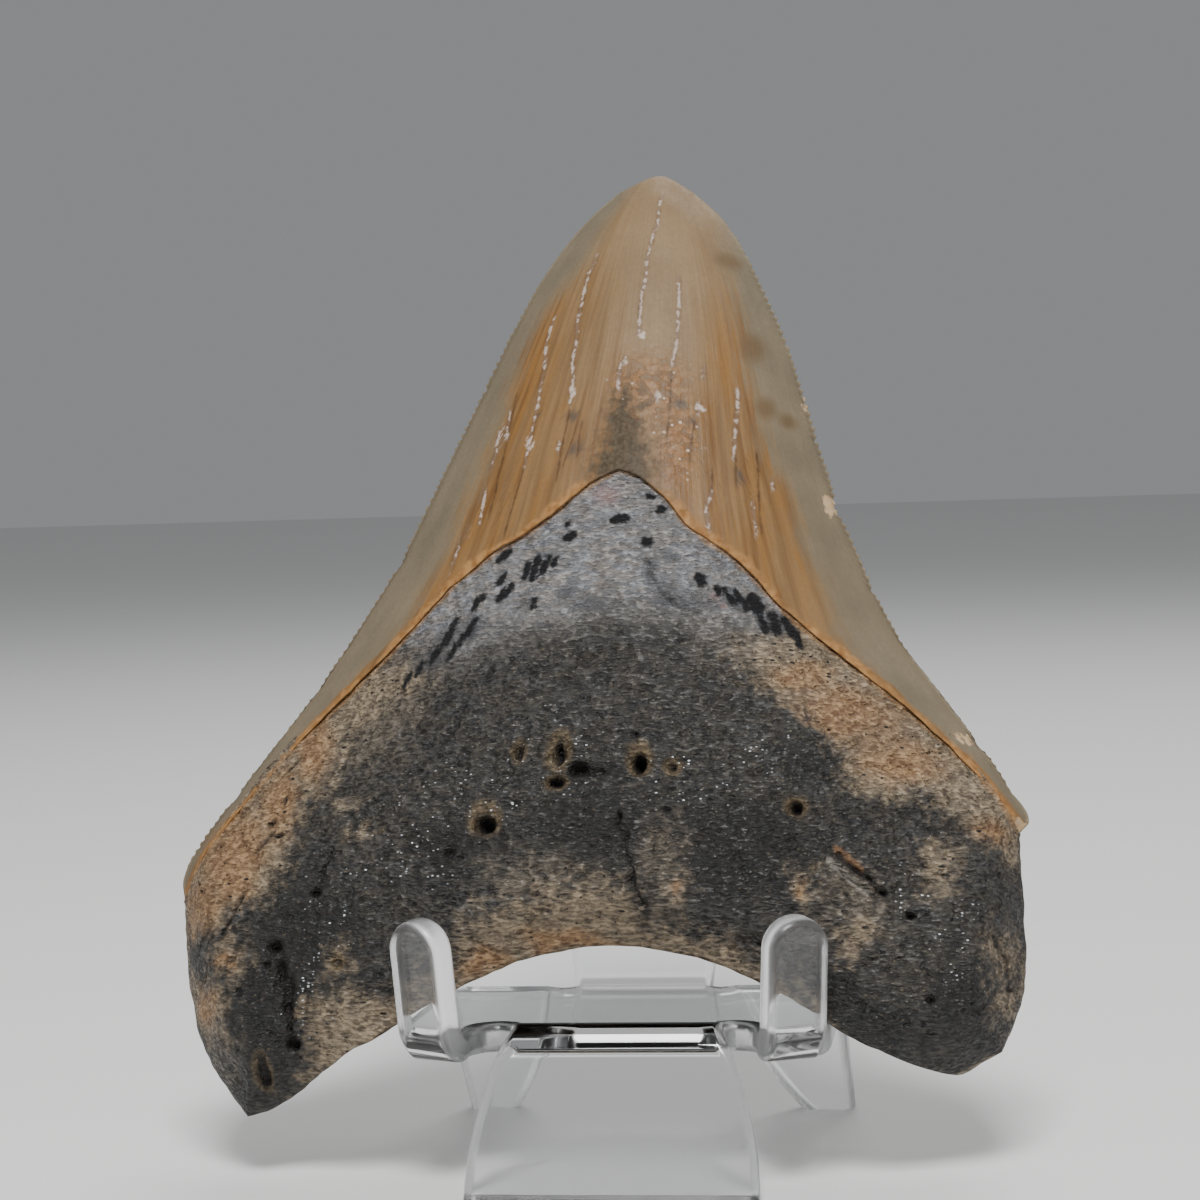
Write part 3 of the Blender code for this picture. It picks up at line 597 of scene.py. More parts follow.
# %% Stains of the root
TAN_AREAS = [
    [(-28, 38), (-40, 30), (-47, 22), (-50, 14), (-49.5, 8.5), (-44.8, 7.8), (-40.8, 9), (-37, 10.6),
     (-35.1, 13.8), (-34.6, 18), (-32.8, 21.2), (-30, 24.5), (-27.5, 29.5), (-22.5, 34), (-20, 38)],
    [(-50, 4), (-45, 3.2), (-41.6, 1.7), (-40.2, -0.5), (-40.9, -2.5), (-43.8, -3.8), (-49, -3)],
    [(-31.5, 0.6), (-28.2, 0.2), (-23.1, 0.9), (-18.2, 2.7), (-15.8, 6), (-12.9, 7.9), (-9.3, 8.4),
     (-6.3, 10.1), (-2, 11.7), (0.8, 10.6), (2.4, 8.6), (2.6, 6.9), (6, 6.2), (11, 4.6), (15, 2.8),
     (18, 1.2), (21.5, -1.4), (23, -8), (10, -3), (0, 0), (-10, -3), (-20, -8), (-30, -12), (-35.5, -13),
     (-34.6, -9.4), (-33.6, -7.2), (-31.5, -6.1), (-31.1, -2.8), (-32.2, -0.8)],
    [(12.7, 35.7), (16.2, 31.4), (20.2, 28.5), (22.5, 26.2), (23.7, 23.1), (25.1, 21.1), (27.6, 19.8),
     (29.9, 21.2), (32.2, 21.1), (33.9, 19.7), (36.1, 17.2), (38.9, 15.6), (46, 14), (46, 22), (38, 29),
     (30, 36), (20, 42), (14, 39)],
    [(31.5, 15.3), (33.8, 15.8), (35.2, 13.7), (33.8, 11.2), (32.1, 11.1), (31.2, 13.5)]]
TAN_SPOTS = [
    (-40.6, 5.4, 1.6, 1.6), (-28.6, 3.7, 1.2, 1.1), (7.1, 10.4, 0.9, 1), (19.6, 10.9, 0.8, 0.8),
    (39.3, 4.9, 0.8, 1.6), (40.3, 0.7, 0.9, 1.4), (-25.8, 16.6, 0.7, 0.6), (-28.9, 20.4, 0.9, 0.7),
    (24.5, 5.8, 1.4, 1.2)]
DUSTY_AREAS = [  # between dark and tan
    [(-29.5, 23.5), (-24, 25.5), (-21, 29.5), (-17.5, 34.8), (-19, 37.5), (-26, 35)],
    [(22.8, 13.8), (25.9, 11.6), (28.4, 8.6), (27.8, 5.2), (24.7, 4.6), (21.9, 7.9), (21.4, 11)],
    [(3.6, 16), (6.2, 17), (7.6, 13), (7.6, 7), (3.6, 5.6), (3.8, 10)],
    [(-12.5, 12.5), (-8, 14), (-4.5, 12.4), (-5, 10), (-12, 8)],
    [(-44, -4), (-40.5, -3.5), (-41, -7), (-43.5, -7)],
    [(8, 41), (14.5, 40), (18, 36.5), (14, 33.5), (9.5, 36.5)]]
WARM_SPOTS = [
    (-41, 15.4, 3.6, 6.4), (-44.8, 10.6, 3.4, 3.2), (-37, 21.5, 3, 4.6), (-32.5, 27.4, 2.2, 4),
    (-13.5, 4, 4, 1.2), (-5, 6.2, 5, 0.9), (24, 29.5, 6, 3.4), (20, 33.5, 3.6, 2), (29.5, 25, 5, 3),
    (38, 17.6, 2.6, 1.6), (-44, 0.5, 2, 2.4), (6.6, 22.7, 0.8, 0.8), (19.6, 10.9, 0.9, 0.9),
    (7.1, 10.4, 0.9, 0.9), (-41.2, 4.6, 1.2, 1)]
# Patches painted darkest: partly the root's own darkest grey, partly painted shade, mostly on the lower
# lobes.
DARKEST_AND_SHADE = [
    (12, 14, 12, 6), (-2, 17, 7, 4.5), (36.5, -1, 5, 5), (20, 23.5, 4, 3), (-38, -6.5, 4.5, 4),
    (-33, 7.5, 5, 6), (23.5, 1, 3, 5), (-16, 15, 5, 3), (-1, 22.5, 4.5, 1.6), (-35, -1, 7, 8),
    (-30, 7, 5, 5), (27, -3, 6, 3), (-40, -8.5, 4, 3)]
# Where clusters of crystals lie. Their glints are a painted highlight: bright grey dots in the material.
GLINTS = [
    (-31, 8, 4, 4.4), (-11, 21, 8, 5), (9, 21.5, 8, 4), (14, 25, 6, 3), (31, 10, 5, 4), (-22, 14, 7, 5),
    (-33, 2, 3.6, 5), (-6, 26, 6, 3), (35, 6, 4, 5), (-20, 20, 6, 3)]
BOURLETTE_LOW = [
    (-44, 19), (-36, 25.5), (-30, 28.5), (-25.4, 32.2), (-21, 34.8), (-15.5, 35.9), (-10, 36.6),
    (-4, 38.4), (0, 38.8), (6, 38.2), (10.2, 37.3), (14, 37.5), (20, 36.5), (30, 30)]
DASHES = [  # black strokes: x and v of both ends, half width
    (-10, 44.6, -9.6, 46.3, 0.3), (-9.1, 44.5, -8.6, 46.9, 0.38), (-8.2, 44.9, -7.4, 46.9, 0.3),
    (-6.9, 45.8, -6.4, 46.9, 0.22), (-12.9, 47.3, -12.1, 48.1, 0.42), (-12.8, 44.4, -12.3, 45.2, 0.38),
    (-12.8, 42.2, -12, 43.4, 0.32), (-11.9, 43, -11.3, 44, 0.28), (-15.5, 41.5, -15.1, 42.8, 0.28),
    (-14.7, 42.5, -14.4, 43.1, 0.24), (-8.9, 40.9, -8.6, 41.8, 0.26), (-18.4, 37.9, -17.5, 40.6, 0.3),
    (-20, 35.9, -19.4, 37.4, 0.3), (-16, 38.6, -15.2, 40.2, 0.26), (-19.3, 37, -18.3, 39, 0.22),
    (-17, 37.4, -16.2, 38.9, 0.26), (-0.4, 50.9, 0.5, 51.1, 0.5), (-5.7, 49, -4.9, 49.3, 0.42),
    (-5.6, 50.6, -5.4, 50.8, 0.26), (3.2, 53.7, 3.4, 53.7, 0.3), (4.3, 52.1, 4.5, 52.1, 0.42),
    (3, 48.2, 3.2, 48.2, 0.5), (8.7, 44.3, 8.9, 43.8, 0.55), (10.5, 43.3, 10.7, 42.4, 0.28),
    (11.3, 43.1, 12.3, 41.4, 0.26), (12.4, 43.1, 12.7, 42, 0.26), (14.1, 42.3, 14.7, 41, 0.62),
    (15, 40, 15.6, 38.5, 0.36), (16.2, 40.4, 16.8, 38.6, 0.42), (17.5, 40, 18.3, 38.4, 0.36),
    (18.4, 38.9, 19.1, 37.1, 0.34), (13.2, 42, 13.6, 41, 0.24), (-21.7, 34.6, -21.1, 36.1, 0.26),
    (-22.9, 33.5, -22.3, 34.9, 0.24), (-18, 36, -17.2, 37.7, 0.22)]
SMUDGES = [
    (3.6, 44.8, 0.9, 2), (5.2, 42, 1.9, 2.4), (8, 41.6, 3, 1.6), (5.7, 46.4, 1, 0.8),
    (-5.2, 42.3, 1.1, 1.4), (-9.5, 41.4, 1.2, 1), (-15.6, 39.4, 2.2, 1.6), (-18.5, 38.4, 1.8, 2),
    (-2.4, 41, 3, 1), (13, 41.6, 2.4, 1.2), (17, 39.4, 2.2, 1.4), (-20, 36.4, 2.6, 1.8)]
FLAKE = [(22.9, 14.9), (25.3, 12.9)]  # a lifted flake is brown, and the lip below it is pale
FLAKE_LIP = [(22.2, 13.6), (24, 12), (26, 10.4)]
PINK = [(10.3, 42.2, 0.5, 0.45), (-1.5, 54, 1.6, 1.4), (11.2, 41, 0.4, 0.4)]
print("stains drawn on the root:", len(TAN_AREAS + DUSTY_AREAS + TAN_SPOTS + WARM_SPOTS))


# %% Masks of the root
def root_masks(piece):
    x, v, w = tooth_places(piece)
    front = smoothstep(-0.5, 1.5, w)
    bent_x = x + 0.9 * wobble(x, v, 3.0, 71) + 0.4 * wobble(x, v, 1.2, 72)
    bent_v = v + 0.9 * wobble(x, v, 3.0, 73) + 0.4 * wobble(x, v, 1.2, 74)
    behind = 6 * wobble(x, v, 12.0, 75) + 3 * wobble(x, v, 4.0, 76) - 0.5
    lobes = 5 * smoothstep(15.0, 21.0, x) + 6 * (1 - smoothstep(-28.0, -17.0, x))
    pale = v - np.interp(x, *zip(*BOURLETTE_LOW)) + 0.7 * wobble(x, v, 2.6, 77) - lobes
    ink = np.full(len(x), -FIELD_REACH)
    for x0, v0, x1, v1, half in DASHES:
        gap = line_distance(x + 0.1 * wobble(x, v, 0.6, 78), v, [(x0, v0), (x1, v1)])
        ink = np.maximum(ink, half + 0.12 - gap)
    front_only = {"bourlette": pale, "ink": ink, "flake": 0.32 - line_distance(x, v, FLAKE),
                  "lip": 0.32 - line_distance(x, v, FLAKE_LIP)}
    fields = {name: np.where(front > 0.5, inside, -FIELD_REACH) for name, inside in front_only.items()}
    tan = inside_any(bent_x, bent_v, TAN_AREAS, TAN_SPOTS)
    fields["tan"] = tan * front + behind * (1 - front)
    fields["dusty"] = inside_any(bent_x, bent_v, DUSTY_AREAS) * front + (behind + 2) * (1 - front)
    keep_fields(piece, fields)

    masks = {"warm": soft_ovals(bent_x, bent_v, WARM_SPOTS),
             "darkest_and_shade": soft_ovals(bent_x, bent_v, DARKEST_AND_SHADE),
             "glints": soft_ovals(bent_x, bent_v, GLINTS),
             "smudge": soft_ovals(x, v, SMUDGES),
             "pink": soft_ovals(x, v, PINK),
             "ring": soft_ovals(x, v, SAUCERS, 0.75, 1.25, 0.15 * wobble(x, v, 1, 79))}
    # A tan band just under the gum line: partly the orange rim's colour, partly painted light that fills
    # the shade under the enamel's step.
    below = curve_distance(x, v, GUM_LINGUAL, 150)
    masks["gum"] = 1 - smoothstep(0.15, 0.6, below + 0.2 * wobble(x, v, 1.4, 80))
    keep_masks(piece, {name: values * front for name, values in masks.items()})
    # Painted shade: each point keeps the depth of the openings, and the material paints them darker the
    # deeper they are.
    hollow_shade = np.where(front > 0.5, openings(x, v, *FRONT_OPENINGS), openings(x, v, *BACK_OPENINGS))
    keep_masks(piece, {"hollow_shade": hollow_shade / 0.6})


root_masks(root)
print("root masks:", [a.name for a in root.data.attributes if a.data_type == "FLOAT"])

# %% [markdown]
# The enamel has thin broken cracks that run down it, filled with pale mineral in places and
# brown in others. A thin line on a grid of points would blur, so each point keeps its sideways
# distance from the nearest crack instead, and the material draws the line at the zero crossing.

# %% Cracks and stains of the crown
PALE_CRACKS = [
    [(3, 93), (2.8, 91.4), (2.5, 88.6), (2.1, 85.9), (1.9, 84.2), (1.6, 81.6), (1.4, 78), (1.3, 73.6)],
    [(-4.1, 85), (-4.7, 83.1), (-5.6, 79), (-5.9, 74.4), (-6, 71.8), (-5.8, 68.3), (-5.9, 65.3)],
    [(-8.6, 77.6), (-9.3, 75.2), (-9.5, 70), (-9.9, 65.9), (-10.3, 62.9), (-10.8, 58.4)],
    [(-13.2, 66.2), (-13.4, 62.5)], [(-14.3, 63.8), (-14.9, 59.2)], [(-15.4, 56.4), (-15.8, 52.2)],
    [(0.1, 71), (-0.7, 69.3), (-0.6, 66.6)], [(5.4, 81.5), (5.5, 74.9), (5.3, 72.1), (5, 69.8)],
    [(12, 67.6), (12, 63.6), (11.9, 61.4), (11.8, 58.8)], [(9.7, 54.4), (9.1, 51.9), (9.5, 49.6)],
    [(8.5, 70), (8.4, 68.4)], [(8.1, 65.4), (7.9, 63.8)], [(-17.9, 50.5), (-18.8, 47)],
    [(14, 54), (14.3, 50)], [(-7, 60.9), (-7.1, 59.2)], [(15.9, 57), (15.9, 55.8)],
    [(3.4, 66.6), (3.6, 65.2)]]
BROWN_CRACKS = [
    [(-10.9, 58.2), (-11.6, 54.5), (-12.6, 50)], [(-6, 64.8), (-6.7, 60), (-7, 56)],
    [(12, 59.2), (12.3, 55.4)], [(9.6, 57), (9.6, 54.4)], [(-4.6, 63), (-4.9, 58.6)],
    [(1.5, 81), (1.2, 76)], [(-12.6, 68), (-13.6, 60), (-14.6, 53)], [(7.6, 63), (7.4, 57.6)],
    [(5, 69), (4.8, 60)], [(14.2, 60), (14.8, 50)]]
PALE_CRACKS_BEHIND = [
    [(-3, 88), (-4, 80), (-4.6, 74)], [(5, 70), (5.8, 61)], [(-10, 56), (-11, 50)]]
BROWN_CRACKS_BEHIND = [
    [(2, 79), (2.6, 64), (2.4, 52)], [(-6, 62), (-7, 48)], [(11, 58), (13, 44)], [(18, 46), (20, 39)]]
OLIVE_RIGHT = [
    (5.5, 97), (7.4, 92), (9.9, 85.4), (11.7, 77), (13.2, 69.7), (15.1, 60.8), (17.6, 55.4), (20, 48.1),
    (22.4, 39.6), (28.4, 31.6), (36.6, 23.6), (42, 18.5)]
OLIVE_LEFT = [
    (1, 97), (-0.6, 93), (-3.4, 88.5), (-6, 84), (-10.2, 78), (-13.6, 69.2), (-16.3, 59), (-19, 50.4),
    (-22.6, 42.7), (-26.4, 37), (-31.5, 31.9), (-38.2, 25.6), (-45, 19)]
GREY_WEDGE = [(-3.9, 53), (-3, 58), (-2, 62.5), (-0.9, 66.2), (0.6, 67.2), (1.5, 65), (2.4, 61), (4.3, 53)]
PALE_SPOTS = [
    (-5.8, 66.6, 0.35, 0.9), (-10.7, 61.3, 0.35, 0.9), (3.5, 65.9, 0.4, 0.3), (1.3, 73.6, 0.35, 0.5),
    (8, 64.6, 0.5, 0.35), (0, 70.4, 0.3, 0.5)]
ORANGE_SPOTS = [
    (2.6, 68.8, 4.2, 3.6), (8.2, 64.4, 1.6, 1.6), (-7.6, 64.4, 2.8, 2.4), (-6.4, 59.5, 3, 4),
    (6.4, 55, 1.8, 2.6), (9.8, 52, 1.6, 3), (12.6, 63, 1, 4), (-14, 55, 1.6, 3)]
BROWN_SPOTS = [
    (13.4, 73.2, 1.5, 2), (15, 65.7, 1.3, 1.5), (17.3, 64.7, 1, 1.1), (10.5, 84.6, 1.6, 1.2)]
DARK_SPOTS = [
    (-5.7, 63.8, 0.6, 0.8), (-4.9, 59.6, 0.7, 0.9), (12.2, 56.6, 0.5, 1.2), (6.2, 65, 0.8, 0.7),
    (-9.6, 64.6, 0.3, 0.4), (7, 62.8, 0.5, 0.6)]
CREAM_SPOTS = [
    (21.7, 55.4, 0.9, 1.2), (35.8, 28.6, 0.9, 0.7), (41.6, 18.2, 1.3, 1.8), (-34.9, 36.2, 0.5, 0.5),
    (18.9, 68, 0.3, 0.9)]
MOTTLED_SPOTS = [(3, 67, 4.6, 4.6), (6, 60, 2.4, 5)]
PALE_TIP = (3.6, 86, 6.5, 17)
print("cracks drawn on the crown:", len(PALE_CRACKS + BROWN_CRACKS))


# %% Masks of the crown
def beside_crack(x, v, cracks):
    """The signed sideways distance from the nearest crack, and where cracks run at all."""
    nearest_gap = np.full(len(x), 1e9)
    side, run = np.full(len(x), FIELD_REACH), np.zeros(len(x))
    wander = x + 0.14 * wobble(x, v, 2.6, 31)
    for points in cracks:
        gap = line_distance(wander, v, points)
        closer = gap < nearest_gap
        nearest_gap = np.where(closer, gap, nearest_gap)
        side = np.where(closer, wander - line_across(points, v), side)
        foot, top = min(p[1] for p in points), max(p[1] for p in points)
        here = smoothstep(foot - 0.5, foot + 0.4, v) * (1 - smoothstep(top - 0.4, top + 0.5, v))
        run = np.where(closer, here * (1 - smoothstep(0.7, 1.1, gap)), run)
    return side, run


def crown_masks(piece):
    x, v, w = tooth_places(piece)
    front = smoothstep(-0.6, 0.4, w)
    for name, cracks, cracks_behind in (("pale", PALE_CRACKS, PALE_CRACKS_BEHIND),
                                        ("brown", BROWN_CRACKS, BROWN_CRACKS_BEHIND)):
        side, run = np.where(w < 0, beside_crack(x, v, cracks_behind), beside_crack(x, v, cracks))
        keep_fields(piece, {name + "_side": side})
        keep_masks(piece, {name + "_run": run})

    gum = curve_through(GUM_LINGUAL)(np.linspace(0, 1, 300))
    above = line_distance(x, v, gum[::3])
    centre = 1 - smoothstep(12.0, 24.0, np.abs(x + 3))
    gum_band = 1 - smoothstep(0.2 + 0.6 * centre, 0.9 + 1.7 * centre, above + 0.4 * wobble(x, v, 3.0, 39))
    olive = np.maximum(x - line_across(OLIVE_RIGHT, v), line_across(OLIVE_LEFT, v) - x)
    olive = olive - smoothstep(84.0, 96.0, v) + 0.5 * wobble(x, v, 2.0, 33, 9.0)
    warm = smoothstep(-9.0, -1.0, olive) * (1 - smoothstep(72.0, 88.0, v))
    low = 0.85 * (1 - smoothstep(60.0, 74.0, v + 3 * wobble(x, v, 4.0, 35, 9.0)))
    bent_x = x + 0.5 * wobble(x, v, 1.6, 34)
    warm = np.maximum.reduce([warm, gum_band, low, soft_ovals(bent_x, v, ORANGE_SPOTS)])
    masks = {"warm": warm, "mottle": soft_ovals(bent_x, v, MOTTLED_SPOTS),
             "brown_spots": soft_ovals(x, v, BROWN_SPOTS),
             "dark_spots": soft_ovals(bent_x, v, DARK_SPOTS)}
    keep_masks(piece, {name: values * front for name, values in masks.items()})

    behind_gum = curve_distance(x, v, GUM_LABIAL, 100)
    apex = (1 - smoothstep(2.5, 5.5, np.abs(x - 0.6))) * front
    rim = 0.5 + 0.35 * centre * front - 1.5 * apex - np.where(front > 0.5, above, behind_gum)
    back_olive = 3 * wobble(x, v, 9.0, 38, 22.0)
    wedge, spots = inside_any(bent_x, v, [GREY_WEDGE]), inside_any(bent_x, v, [], PALE_SPOTS)
    keep_fields(piece, {"olive": (olive - 12 * gum_band) * front + back_olive * (1 - front),
                        "wedge": np.where(front > 0.5, wedge, -FIELD_REACH),
                        "pale_spots": np.where(front > 0.5, spots, -FIELD_REACH),
                        "cream": inside_any(bent_x, v, [], CREAM_SPOTS),
                        "gum_rim": rim + 0.3 * wobble(x, v, 3.3, 36)})
    edge_gap = nearest(x, v, ["edge_left", "edge_right"])[0]
    pale_tip = oval(x, v, *PALE_TIP) + 0.2 * wobble(x, v, 6.0, 37)
    # The colour turns light cream along the serrated edges: a painted highlight.
    keep_masks(piece, {"edge_highlight": 1 - smoothstep(0.05, 0.55, edge_gap),
                       "tip": 1 - smoothstep(0.4, 1.4, pale_tip)})


crown_masks(crown)
print("crown masks:", [a.name for a in crown.data.attributes if a.data_type == "FLOAT"])

# %% [markdown]
# The streaks of the enamel run from the gum line to the tip and draw together on the way, so
# their pattern can't follow straight coordinates. Each point keeps its share across the crown
# and its height instead.

# %% Coordinates that flow with the crown
ACROSS, ALONG, BACK_SHIFT = 46.0, 0.12, 20.0  # one step of noise for each: share, mm, and the back


def flow_map(piece):
    x, v, w = tooth_places(piece)
    left, right = left_side(v), right_side(v)
    across = (x - left) / np.maximum(right - left, 6.0)
    values = np.stack([across * ACROSS, v * ALONG, np.where(w > 0, 0.0, BACK_SHIFT)], axis=-1)
    layer = piece.data.attributes.new("flow", "FLOAT_VECTOR", "POINT")
    layer.data.foreach_set("vector", values.astype(np.float32).ravel())


flow_map(crown)

# %% [markdown]
# ## The clear stand
# Such a stand is cut from one flat sheet of clear plastic and bent while it is hot: two hooks
# and a leg in front, a back plate and two legs behind. It is made the same way here. The flat
# pattern is drawn, given its thickness and polished edges, creased at close stations, and bent.

# %% The flat pattern, in mm
STAND_TO_ORIGIN = (2.955, -22.395, 14.9)  # the middle of the sheet on the ledge
SHEET = 3.2
EDGE_ROUND = 1.0
STAND_HALF = 22.0
LEDGE_TOP = 16.5
FRONT_BEND_Y, REAR_BEND_Y = 6.7, 27.0
BEND_RADIUS = 2.6
LEG_ROOT, REAR_NOTCH = 11.6, 8.6
LEG_FLARE = [(0.0, LEG_ROOT), (0.8, 11.0), (4.0, 12.6), (9.0, 13.9), (14.0, 14.8), (22.0, 15.1)]
REAR_SWEEP = [(0.0, REAR_NOTCH), (1.6, 10.1), (7.0, 11.3), (13.0, 12.9), (18.2, 15.1),
              (20.6, 16.4), (26.0, 19.6)]
HOOK_INNER_X, HOOK_MIDDLE_X, HOOK_BEND_Y, HOOK_TOP = 15.4, 17.3, 3.4, 28.4
BACK_FOOT_HALF, BACK_TOP_HALF, BACK_CORNER, BACK_FILLET, BACK_TOP = 7.2, 11.0, 5.0, 1.4, 44.0
HOOK_ANGLE, LEG_ANGLE = math.radians(84.0), math.radians(66.1)
BACK_ANGLE, REAR_ANGLE = math.radians(85.0), math.radians(48.0)
HOOK_SPLAY = math.radians(30.0)


def strip_length(angle, height):
    """Length of a strip that bends by an angle and then runs straight for a height."""
    return BEND_RADIUS * angle + height / math.sin(angle)


leg_length = strip_length(LEG_ANGLE, LEDGE_TOP + 2.0)  # past the floor, to be cut level
rear_length = strip_length(REAR_ANGLE, LEDGE_TOP + 1.0)
back_length = strip_length(BACK_ANGLE, BACK_TOP - LEDGE_TOP)
hook_rise = HOOK_TOP - BEND_RADIUS * (1 - math.cos(HOOK_ANGLE)) - (LEDGE_TOP - SHEET / 2)
hook_length = FRONT_BEND_Y - HOOK_BEND_Y + strip_length(HOOK_ANGLE, hook_rise)


def width_along(points, samples):
    """Half a width as a function of the length along a leg."""
    drawn = curve_through(points)(np.linspace(0, 1, samples))
    return lambda t: float(np.interp(t, drawn[:, 0], drawn[:, 1]))


leg_half = width_along(LEG_FLARE, 60)
rear_inner = width_along(REAR_SWEEP, 80)


# %% The outline of the flat pattern
def hook_inner(t):
    """The inner side of a hook, which starts as a quarter round."""
    fillet = HOOK_INNER_X - LEG_ROOT
    sunk = 1 - min(1.0, t / fillet)
    return HOOK_INNER_X - fillet * (1 - math.sqrt(1 - sunk**2))


def back_half(t):
    """Half the back plate's width, which starts with a fillet."""
    return (BACK_FOOT_HALF + (BACK_TOP_HALF - BACK_FOOT_HALF) * t / back_length
            + BACK_FILLET * (1 - float(smoothstep(0.0, BACK_FILLET, t))))


def right_half():
    """The right half of the outline, from the middle of the leg's end to the plate's top."""
    path = [(leg_half(t), FRONT_BEND_Y - t)
            for t in (leg_length, 20, 16, 13, 10, 8, 6, 5, 4, 3, 2.2, 1.6, 1.1, 0.7, 0.35)]
    path += [(hook_inner(t), FRONT_BEND_Y - t)
             for t in (0.03, 0.12, 0.3, 0.55, 0.9, 1.4, 2.0, 2.7, 3.4)]
    half = (STAND_HALF - HOOK_INNER_X) / 2
    for turn in np.linspace(0, math.pi, 17):
        path.append((STAND_HALF - half - half * math.cos(turn),
                     FRONT_BEND_Y - hook_length + half - half * math.sin(turn)))
    path += [(STAND_HALF, y) for y in (FRONT_BEND_Y, REAR_BEND_Y, REAR_BEND_Y + rear_length)]
    path += [(rear_inner(t), REAR_BEND_Y + t)
             for t in (rear_length, 24, 22, 20.5, 19, 17, 15, 13, 11, 9, 7, 5, 3, 2, 1.3, 0.9, 0.6)]
    path += [(x, REAR_BEND_Y + t) for x, t in ((8.95, 0.38), (8.70, 0.28), (8.46, 0.36))]
    path += [(back_half(t), REAR_BEND_Y + t) for t in (0.6, 0.8, 1.0, 1.2, 1.5, 2.5)]
    for turn in np.linspace(0, math.pi / 2, 11):
        t = back_length - BACK_CORNER * (1 - math.sin(turn))
        path.append((back_half(t) - BACK_CORNER * (1 - math.cos(turn)), REAR_BEND_Y + t))
    return path


half_path = right_half()
outline = np.array(half_path + [(-x, y) for x, y in reversed(half_path)])
bpy.ops.object.select_all(action="DESELECT")
bpy.ops.mesh.primitive_circle_add(vertices=len(outline), fill_type="NGON")
stand = bpy.context.object
stand.name = stand.data.name = "clear_stand"
flat = np.column_stack([outline, np.full(len(outline), -SHEET / 2)]) * MM
stand.data.vertices.foreach_set("co", flat.astype(np.float32).ravel())
stand.data.update()
print("flat pattern:", len(outline), "points")

# %% Thickness, polished edges and creases
CREASE = 0.35  # mm between two creases
FRONT_CREASES, REAR_CREASES = 22, 13

bpy.ops.object.mode_set(mode="EDIT")
bpy.ops.mesh.select_all(action="SELECT")
bpy.ops.mesh.extrude_region_move(TRANSFORM_OT_translate={"value": (0, 0, SHEET * MM)})
bpy.ops.mesh.select_all(action="SELECT")
bpy.ops.mesh.normals_make_consistent(inside=False)
shape = bmesh.from_edit_mesh(stand.data)
shape.faces.ensure_lookup_table()
bpy.ops.mesh.select_mode(type="EDGE")
for edge in shape.edges:
    edge.select_set(sum(abs(face.normal.z) > 0.9 for face in edge.link_faces) == 1)
bmesh.update_edit_mesh(stand.data)
bpy.ops.mesh.bevel(offset=EDGE_ROUND * MM, segments=4, profile=0.5, affect="EDGES",
                   clamp_overlap=False)
stations = [FRONT_BEND_Y - CREASE * k for k in range(FRONT_CREASES)]
stations += [REAR_BEND_Y + CREASE * k for k in range(REAR_CREASES)]
for y in stations:
    bpy.ops.mesh.select_all(action="SELECT")
    bpy.ops.mesh.bisect(plane_co=(0, y * MM, 0), plane_no=(0, 1, 0))
bpy.ops.object.mode_set(mode="OBJECT")
print("creased blank:", len(stand.data.vertices), "points")


# %% Bend it
def bent(past, angle):
    """How far forward and how far up a bend carries a point that lies past its line."""
    arc = BEND_RADIUS * angle
    turned = min(max(past, 0.0), arc) / BEND_RADIUS
    reach = min(past, 0.0) + BEND_RADIUS * math.sin(turned) + max(past - arc, 0.0) * math.cos(angle)
    rise = BEND_RADIUS * (1 - math.cos(turned)) + max(past - arc, 0.0) * math.sin(angle)
    return reach, rise


STRIPS = {  # line of the bend, way it runs, angle, and whether it goes up or down
    "leg": (FRONT_BEND_Y, -1, LEG_ANGLE, -1), "rear": (REAR_BEND_Y, 1, REAR_ANGLE, -1),
    "back": (REAR_BEND_Y, 1, BACK_ANGLE, 1), "ledge": (REAR_BEND_Y, 1, 0.0, 1)}


def middle_surface(x, y, strip):
    """Where a point of the flat pattern's middle ends up."""
    if strip in STRIPS:
        line, way, angle, up = STRIPS[strip]
        reach, rise = bent((y - line) * way, angle)
        return Vector((x, line + way * reach, up * rise))
    side, run = (1 if x > 0 else -1), FRONT_BEND_Y - HOOK_BEND_Y
    share = float(smoothstep(0.0, run + BEND_RADIUS, FRONT_BEND_Y - y))
    turn = HOOK_SPLAY * share
    root_middle = (STAND_HALF + HOOK_INNER_X) / 2
    middle = root_middle + (HOOK_MIDDLE_X - root_middle) * share
    out = side * x - root_middle
    reach, rise = bent(HOOK_BEND_Y - y, HOOK_ANGLE)
    ahead = max(reach, 0.0)
    back = HOOK_BEND_Y - min(reach, 0.0) + out * math.sin(turn) - ahead * math.cos(HOOK_SPLAY)
    return Vector((side * (middle + out * math.cos(turn) + ahead * math.sin(HOOK_SPLAY)), back, rise))


def strip_of(x, y):
    """The strip of the flat pattern that a point lies on."""
    if FRONT_BEND_Y - 1e-4 <= y <= REAR_BEND_Y + 1e-4:
        return "ledge"
    if y < FRONT_BEND_Y:
        t = FRONT_BEND_Y - y
        return "leg" if abs(x) < (leg_half(t) + hook_inner(t)) / 2 else "hook"
    t = y - REAR_BEND_Y
    return "back" if abs(x) < (back_half(min(t, back_length)) + rear_inner(t)) / 2 else "rear"


# %% Move every point of the blank
TINY = 0.01  # mm to each side, to measure the surface's slope
flat = read_points(stand)
bent_points = []
for x, y, n in flat:
    strip = strip_of(x, y)
    along_x = middle_surface(x + TINY, y, strip) - middle_surface(x - TINY, y, strip)
    along_y = middle_surface(x, y + TINY, strip) - middle_surface(x, y - TINY, strip)
    normal = along_x.cross(along_y).normalized()
    bent_points.append((middle_surface(x, y, strip) + normal * n + Vector(STAND_TO_ORIGIN)) * MM)
stand.data.vertices.foreach_set("co", np.array(bent_points, np.float32).ravel())
from_edge = line_distance(flat[:, 0], flat[:, 1], np.vstack([outline, outline[:1]]))
keep_masks(stand, {"rim": 1 - smoothstep(0.70, 1.0, from_edge)})
stand.data.update()

